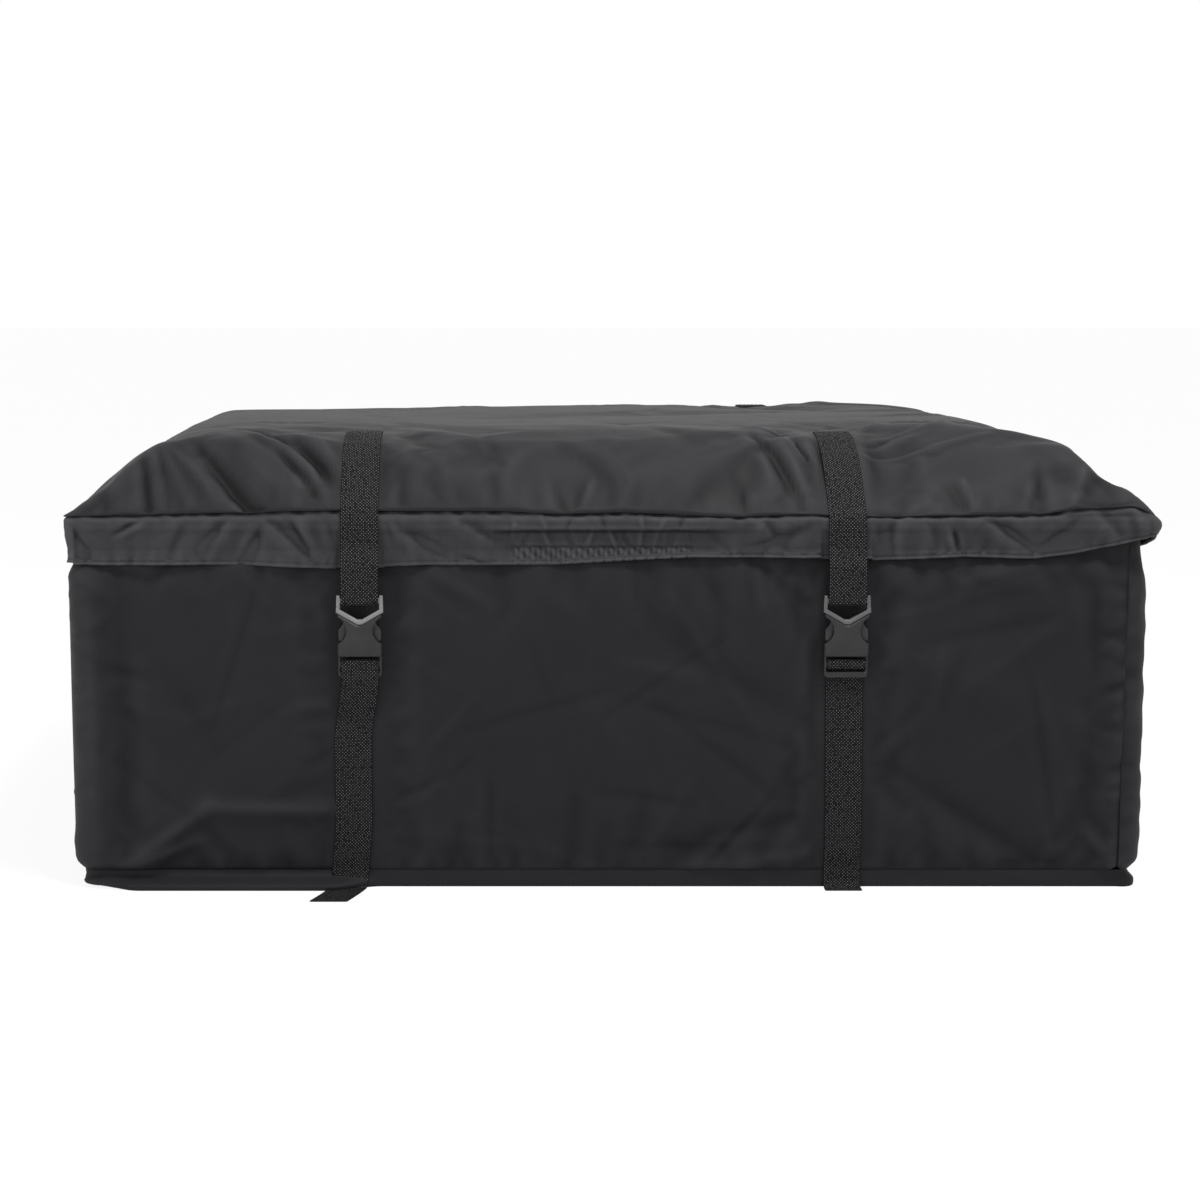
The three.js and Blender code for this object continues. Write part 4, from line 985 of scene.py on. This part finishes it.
def makeFlap():
    end = flap["halfX"] - flap["corner"] + flap["quarter"]
    end += (bag["lidHalfY"] - flap["backInset"]) + flap["halfY"] - flap["corner"]
    places = [-end, -560, -120, 100, 560, end]
    counts = np.cumsum([0] + [(b - a) / step for a, b, step in zip(places, places[1:], flap["steps"])])
    obj = gridSheet("storm_flap_cloth", round(counts[-1]), flap["rows"])

    def place(s, v):
        crowded = np.interp((s + end) / (2 * end) * counts[-1], counts, places)
        return flapForm(crowded, v / flap["drop"])

    formSheet(obj, (-end, end), (0, (1 + flap["hemTurn"]) * flap["drop"]), place)
    faceOutward(obj)
    markFoldShading(obj)
    thicken(obj, flap["thickness"], 0.0, even=False)
    shadeSmooth(obj)
    rest(obj, "flap", "cloth", "storm_flap")


# Webbing: a strip along a line, with a woven relief
def runLength(line):
    steps = np.linalg.norm(np.diff(line, axis=0), axis=1)
    return np.concatenate([[0], np.cumsum(steps)])


def roundLine(line, radius, count=5):
    # rounds the corners of a line of (out, up) points
    rounded = [line[0]]
    for before, here, after in zip(line[:-2], line[1:-1], line[2:]):
        a, b = before - here, after - here
        la, lb = np.linalg.norm(a), np.linalg.norm(b)
        r = min(radius, la * 0.45, lb * 0.45)
        p, q = here + a / la * r, here + b / lb * r
        for k in range(count + 1):
            t = k / count
            rounded.append((1 - t) ** 2 * p + 2 * t * (1 - t) * here + t * t * q)
    rounded.append(line[-1])
    return np.array(rounded)


def makeWebbing(name, line, x, side, node, drift=None):
    # line lists (outward, up) points of the strip's middle
    line = roundLine(np.array(line, dtype=float), 3.0)
    run = runLength(line)
    half = bag["web"] / 2
    obj = gridSheet(name, round(bag["web"] / weave["cell"]), round(run[-1] / weave["cell"]))

    def place(across, s):
        (out, up), before, after = (
            np.stack([np.interp(s + step, run, line[:, i]) for i in range(2)]) for step in (0, -0.6, 0.6))
        ahead = after - before
        ahead /= np.maximum(np.linalg.norm(ahead, axis=0), 1e-9)
        turn = 2 * math.pi / weave["pitch"]
        ribs = np.sin(across * turn) * np.sin(s * turn)
        edge = 1 - bell(half - np.abs(across), 1.0)
        h = weave["relief"] * ribs * (0.4 + 0.6 * edge) - 0.25 * (1 - edge)
        shift = drift(up, s) if drift is not None else 0
        return x + across + shift, side * (out - ahead[1] * h), up + ahead[0] * h

    formSheet(obj, (-half, half), (0, run[-1]), place)
    thicken(obj, weave["thickness"], 0.0)
    shadeSmooth(obj)
    dress(obj, "webbing")
    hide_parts(node)
    return obj


buckle = {
    "thick": 5.0,
    "socketThick": 12.0,
    "socketLength": 33.0,
    "barBottom": 21.0,
    "barTop": 27.0,
    "slot": 4.5,
    "middleBar": 7.0,
    "endBar": 6.0,
    "middle": 183.0,
    "bevel": 0.45,
    "frameSlope": 0.56,  # of the V
    "frameBand": 8.0,
}


def wallFace(x, side, up):
    name = "front" if side < 0 else "back"
    swell = wallSwell(name, np.array([-side * x]), np.array([up], dtype=float))[0]
    return bag["halfDepth"] + float(swell)


def buckleLine(x, side):
    return wallFace(x, side, buckle["middle"]) + 0.3 + buckle["socketThick"] / 2


def upperLine(x, side):
    # from the sewn end on the top to the doubled tail behind the plug
    start = bag["lidHalfY"] - lid["longRun"] - 57
    lift = 1.15
    points = []
    for out in np.linspace(start, bag["lidHalfY"], 26):
        y = side * out
        points.append([out, float(lidHeight(np.array([x]), np.array([y]))[0]) + lift])
    points = np.array(points)
    slope = np.gradient(points[:, 1], points[:, 0])
    steep = np.sqrt(1 + slope**2)
    points[:, 0] += -slope / steep * 0.2
    line = buckleLine(x, side)
    front, back = line + buckle["thick"] / 2 + 1.0, line - buckle["thick"] / 2 - 1.0
    tip = bag["tip"]
    hang = bag["lidHalfY"] + 1.2
    hanging = [
        [hang + 2.2, bag["seam"] - 5],
        [hang + 3.0, bag["seam"] - 13],
        [hang + 3.4, bag["seam"] - 32],
        [front, bag["seam"] - 52],
        [front, tip + buckle["barBottom"] + 0.7],
        [front - 1.2, tip + buckle["barBottom"] - 1.0],
        [back + 1.2, tip + buckle["barBottom"] - 1.0],
        [back, tip + buckle["barBottom"] + 0.7],
        [back, tip + buckle["barTop"] + 1],
        [front - 2.2, tip + buckle["barTop"] + 12],
        [front - 2.2, tip + buckle["barTop"] + 28],
    ]
    return [*points.tolist(), *hanging]


def lowerLine(x, side, tail, overEndBar):
    # from the free end on the floor, up the wall, into the socket's ladder
    line = buckleLine(x, side)
    front, back = line + buckle["thick"] / 2 + 1.0, line - buckle["thick"] / 2 - 1.0
    top = bag["tip"] - buckle["socketLength"]
    middleTop = top - buckle["slot"]
    middleBottom = middleTop - buckle["middleBar"]
    endBottom = top - 2 * buckle["slot"] - buckle["middleBar"] - buckle["endBar"]
    behind = back - 2.0
    last = endBottom - (40 if overEndBar else 14)
    points = [[bag["halfDepth"] + tail, 0.8], [bag["halfDepth"] + 8, 0.8], [bag["halfDepth"] + 2.4, 5.5]]
    for up in np.arange(20, last, 12):
        points.append([wallFace(x, side, up) + 1.0, up])
    if overEndBar:
        points += [
            [front, endBottom - 2], [front, middleTop - 0.7], [front - 1.2, middleTop + 1],
            [back + 1.2, middleTop + 1], [back, middleTop - 0.7], [back, endBottom + 2],
            [back - 1, endBottom - 12],
        ]
    else:
        points += [
            [behind, endBottom - 4], [behind, middleBottom - 1.4], [behind + 1.0, middleBottom - 1.0],
            [front - 1.2, middleBottom - 1.0], [front, middleBottom + 0.7], [front, middleTop - 0.7],
            [front - 1.2, middleTop + 1.0], [back + 1.2, middleTop + 1.0], [back, middleTop - 0.7],
            [behind + 0.8, middleBottom + 1.5],
        ]
    return points


def makeStraps():
    end = bag["tip"] - 55
    for name, (x, side) in straps.items():
        long = name == "front_left"
        obj = makeWebbing(name + "_upper_strap", upperLine(x, side), x, side, name + "_upper_webbing")
        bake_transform(obj)

        def drift(up, s):
            # the long one drifts to the left down the wall, and its free end lies turned to the left
            if not long:
                return 4 * smooth((end - up) / end)
            aside = 19 * (1 - clamp01(s / 56)) ** 1.2
            return -aside - 8 * falling(up, end, 70) - 5 * smooth(1 - up / 80)

        line = lowerLine(x, side, 57 if long else 17, long)
        obj = makeWebbing(name + "_lower_strap", line, x, side, name + "_lower_webbing", drift)
        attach(obj, "root")


# Buckles: the moulded pieces with their edges rounded, worn pale and given a painted highlight
def softenEdges(strap, piece, body, edgeWearAndHighlight, frameHighlight=0):
    x, side = straps[strap]
    bm = bmesh.new()
    bm.from_mesh(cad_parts[strap + piece].data)
    bmesh.ops.remove_doubles(bm, verts=bm.verts, dist=0.00001)
    bmesh.ops.dissolve_limit(bm, angle_limit=math.radians(3), verts=bm.verts, edges=bm.edges)
    edges = [e for e in bm.edges if len(e.link_faces) == 2 and e.calc_face_angle(0) > math.radians(28)]
    rounded = bmesh.ops.bevel(bm, geom=edges, offset=buckle["bevel"] * mm, offset_type="OFFSET", segments=2,
                              profile=0.5, affect="EDGES", clamp_overlap=True, material=-1)
    wear_and_highlight = bm.verts.layers.float.new("wear_and_highlight")
    front = side * buckleLine(x, side)
    # the rounded edges on the outer face: worn pale, with a painted highlight
    for v in {v for f in rounded["faces"] for v in f.verts}:
        if side * (v.co.y / mm - front) > 0:
            v[wear_and_highlight] = edgeWearAndHighlight
    for v in bm.verts:
        # a painted highlight on the V's band along the plug's frame, on its outer face
        u, up, out = abs(v.co.x / mm - x), v.co.z / mm - bag["tip"], side * (v.co.y / mm - front)
        low = buckle["frameSlope"] * (u - 2.5) - 1.5
        if frameHighlight and out > 1.5 and low < up < 30 and (up < low + buckle["frameBand"] or u > 19):
            v[wear_and_highlight] = frameHighlight
    bmesh.ops.triangulate(bm, faces=[f for f in bm.faces if len(f.verts) > 4])
    obj = meshObject(bm, strap + piece + "_shell")
    shadeSmooth(obj, 35)
    rest(obj, "plastic", "plastic", strap + piece, body=body)


def makeBuckles():
    for name in straps:
        # the last two numbers: pale wear with painted highlight on the edges, then painted highlight on the
        # V's band, brightest on the front left plug
        softenEdges(name, "_plug", name + "_plug", 0.15, 0.95 if name == "front_left" else 0.5)
        softenEdges(name, "_socket", "root", 0.12)


# Stitching: short threads laid along a line
stitch = {"pitch": 4.6, "length": 3.3, "width": 0.75, "height": 0.5, "boxInset": 3, "boxLength": 46}


def stitchForm():
    # a thread that thins towards both ends and is sunk there
    bm = bmesh.new()
    bmesh.ops.create_cube(bm, size=1.0)
    lengthwise = [e for e in bm.edges if abs(e.verts[0].co.x - e.verts[1].co.x) > 0.5]
    bmesh.ops.subdivide_edges(bm, edges=lengthwise, cuts=1)
    for v in bm.verts:
        if abs(v.co.x) > 0.25:
            v.co.y *= 0.55
            v.co.z *= 0.2
    bm.verts.index_update()
    points = np.array([v.co[:] for v in bm.verts]) * (stitch["length"], stitch["width"], stitch["height"])
    faces = [[v.index for v in f.verts] for f in bm.faces]
    bm.free()
    return points, faces


def layStitches(name, lines):
    # each line is (points, outward directions) in millimetres
    unit, faces = stitchForm()
    bm = bmesh.new()
    for points, outward in lines:
        points, outward = np.array(points, dtype=float), np.array(outward, dtype=float)
        run = runLength(points)

        def at(values, place):
            return np.array([np.interp(place, run, values[:, i]) for i in range(3)])

        count = int(run[-1] // stitch["pitch"])
        for k in range(count):
            s = (k + 0.5) * run[-1] / count
            ahead = at(points, s + 1.5) - at(points, s - 1.5)
            ahead /= max(np.linalg.norm(ahead), 1e-9)
            n = at(outward, s)
            n = n - ahead * n.dot(ahead)
            n /= max(np.linalg.norm(n), 1e-9)
            body = unit @ np.stack([ahead, np.cross(n, ahead), n]) + at(points, s)
            made = [bm.verts.new(p) for p in body * mm]
            for face in faces:
                bm.faces.new([made[i] for i in face])
    obj = meshObject(bm, name)
    shadeSmooth(obj, 60)
    rest(obj, "thread", "webbing")


def lidPoint(x, y, lift):
    # a point over the lid, and the direction away from it
    step = 2.0
    z, zx, zy = lidHeight(np.array([x, x + step, x]), np.array([y, y, y + step]))
    n = np.array([(z - zx) / step, (z - zy) / step, 1.0])
    n /= np.linalg.norm(n)
    return np.array([x, y, z]) + n * lift, n


def flapSpan(s):
    # heights of the strip's seam and of its hem
    return [flapForm(s, np.full_like(s, t))[2] for t in (0.0, 1.0)]


def makeStitching():
    s = np.linspace(-1330, 1330, 1200)
    top, low = flapSpan(s)
    x, y, z = flapForm(s, 1 - flap["hemRow"] / (top - low))
    _, _, nx, ny, _ = flapPathPoint(s)
    lines = [(np.stack([x + nx * 0.5, y + ny * 0.5, z], axis=1), np.stack([nx, ny, 0 * s], axis=1))]
    left, right, high, low = (flap[k] for k in ("stitchLeft", "stitchRight", "stitchTop", "stitchBottom"))
    rows = ((left, high, right, high), (left - 10, low, right + 3, low), (right, high, right + 3, low))
    for x0, z0, x1, z1 in rows:
        s, up = np.linspace(x0, x1, 90), np.linspace(z0, z1, 90)
        top, hem = flapSpan(s)
        x, y, z = flapForm(s, (top - up) / (top - hem))
        lines.append((np.stack([x, y - 0.5, z], axis=1), np.tile([0, -1, 0], (90, 1))))
    layStitches("flap_stitching", lines)

    # where the straps are sewn to the lid: a box with both its diagonals
    lines = []
    half = bag["web"] / 2 - stitch["boxInset"]
    far = bag["lidHalfY"] - lid["longRun"] - 54
    near = far + stitch["boxLength"]
    box = [(-half, far), (half, far), (half, near), (-half, near), (-half, far), (half, near)]
    for x, side in straps.values():
        for (a, b), (c, d) in [*zip(box[:-1], box[1:]), ((half, far), (-half, near))]:
            across, outs = np.linspace(a, c, 24), np.linspace(b, d, 24)
            sewn = [lidPoint(x, side * out, 2.0) for out in outs]
            lines.append(([p + (w, 0, 0) for (p, n), w in zip(sewn, across)], [n for p, n in sewn]))
    layStitches("strap_stitching", lines)


# Studio: white floor and background, a key light above, a fill from the left, camera at the photo's place
studio = {
    "camera": (-0.129, -2.58, 0.618),
    "pitch": 8.37,
    "lens": 63.84,
    "shift": 0.0975,
    "sky": 0.2,
    "reflected": 0.34,  # how much of the white room shows in reflections
    "glow": 0.88,
    "lamps": [
        # name, place, size, power
        ("overhead", (0.2, 0.6, 2.4), 1.4, 4),
        ("key", (0.5, -1.2, 2.5), 0.5, 58),
        ("left_fill", (-2.4, -1.8, 0.9), 0.9, 30),
    ],
}


def clearTree(owner, kind):
    # an empty node tree with its output, and a wire to build with
    owner.use_nodes = True
    owner.node_tree.nodes.clear()
    return Wire(owner.node_tree), owner.node_tree.nodes.new(kind)


def makeStudio():
    bm = bmesh.new()
    bmesh.ops.create_grid(bm, x_segments=1, y_segments=1, size=30)
    floor = meshObject(bm, "floor")
    material = bpy.data.materials.new("floor")
    floor.data.materials.append(material)
    wires, out = clearTree(material, "ShaderNodeOutputMaterial")
    seen = wires.node("ShaderNodeLightPath")
    glossy = wires.node("ShaderNodeLightPath", out=3)
    plain = wires.node("ShaderNodeBsdfDiffuse", None, {"Color": (0.8, 0.8, 0.8, 1)})
    glow = wires.node("ShaderNodeEmission", None, {"Color": (1, 1, 1, 1), "Strength": 1.0})
    share = (seen + glossy * studio["reflected"]) * studio["glow"]
    both = wires.node("ShaderNodeMixShader", None, {0: share, 1: plain, 2: glow})
    wires.tree.links.new(both.socket, out.inputs[0])

    world = bpy.data.worlds.new("studio")
    scene.world = world
    wires, out = clearTree(world, "ShaderNodeOutputWorld")
    seen = wires.node("ShaderNodeLightPath")
    glossy = wires.node("ShaderNodeLightPath", out=3)
    through = wires.node("ShaderNodeLightPath", out=5)
    shown = (seen + through).maths("MINIMUM", 1.0)
    strength = studio["sky"] + shown * (1 - studio["sky"]) + glossy * (studio["reflected"] - studio["sky"])
    sky = wires.node("ShaderNodeBackground", None, {"Color": (1, 1, 1, 1), "Strength": strength})
    wires.tree.links.new(sky.socket, out.inputs[0])

    aim = Vector((0, 0, 0.3))
    for name, place, size, power in studio["lamps"]:
        lamp = bpy.data.lights.new(name, "AREA")
        lamp.size = size
        lamp.energy = power
        obj = bpy.data.objects.new(name, lamp)
        obj.location = place
        obj.rotation_euler = (aim - Vector(place)).to_track_quat("-Z", "Y").to_euler()
        scene.collection.objects.link(obj)

    view = bpy.data.cameras.new("camera")
    view.sensor_width = 36
    view.lens = studio["lens"]
    view.shift_x = studio["shift"]
    camera = bpy.data.objects.new("camera", view)
    camera.location = studio["camera"]
    camera.rotation_euler = (math.radians(90 - studio["pitch"]), 0, 0)
    scene.collection.objects.link(camera)
    scene.camera = camera


makeStudio()
print("studio ready")
makeLid()
print("lid ready")
for number, wallName in enumerate(walls):
    makeWall(wallName, 100 + 10 * number)
print("walls ready")
makeBase()
print("base ready")
makeFlap()
print("flap ready")
makeStraps()
print("straps ready")
makeBuckles()
print("buckles ready")
makeStitching()
print("stitching ready")

# the solids that show as they are
bare = {
    "tape": ("hook_strip", "loop_strip", "zip_tape_upper", "zip_tape_lower"),
    "metal": ("zip_slider_left", "zip_slider_right", "zip_pull_left", "zip_pull_right"),
}
for finish, nodes in bare.items():
    for node in nodes:
        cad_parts[node].data.materials.clear()
        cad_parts[node].data.materials.append(finishes[finish])
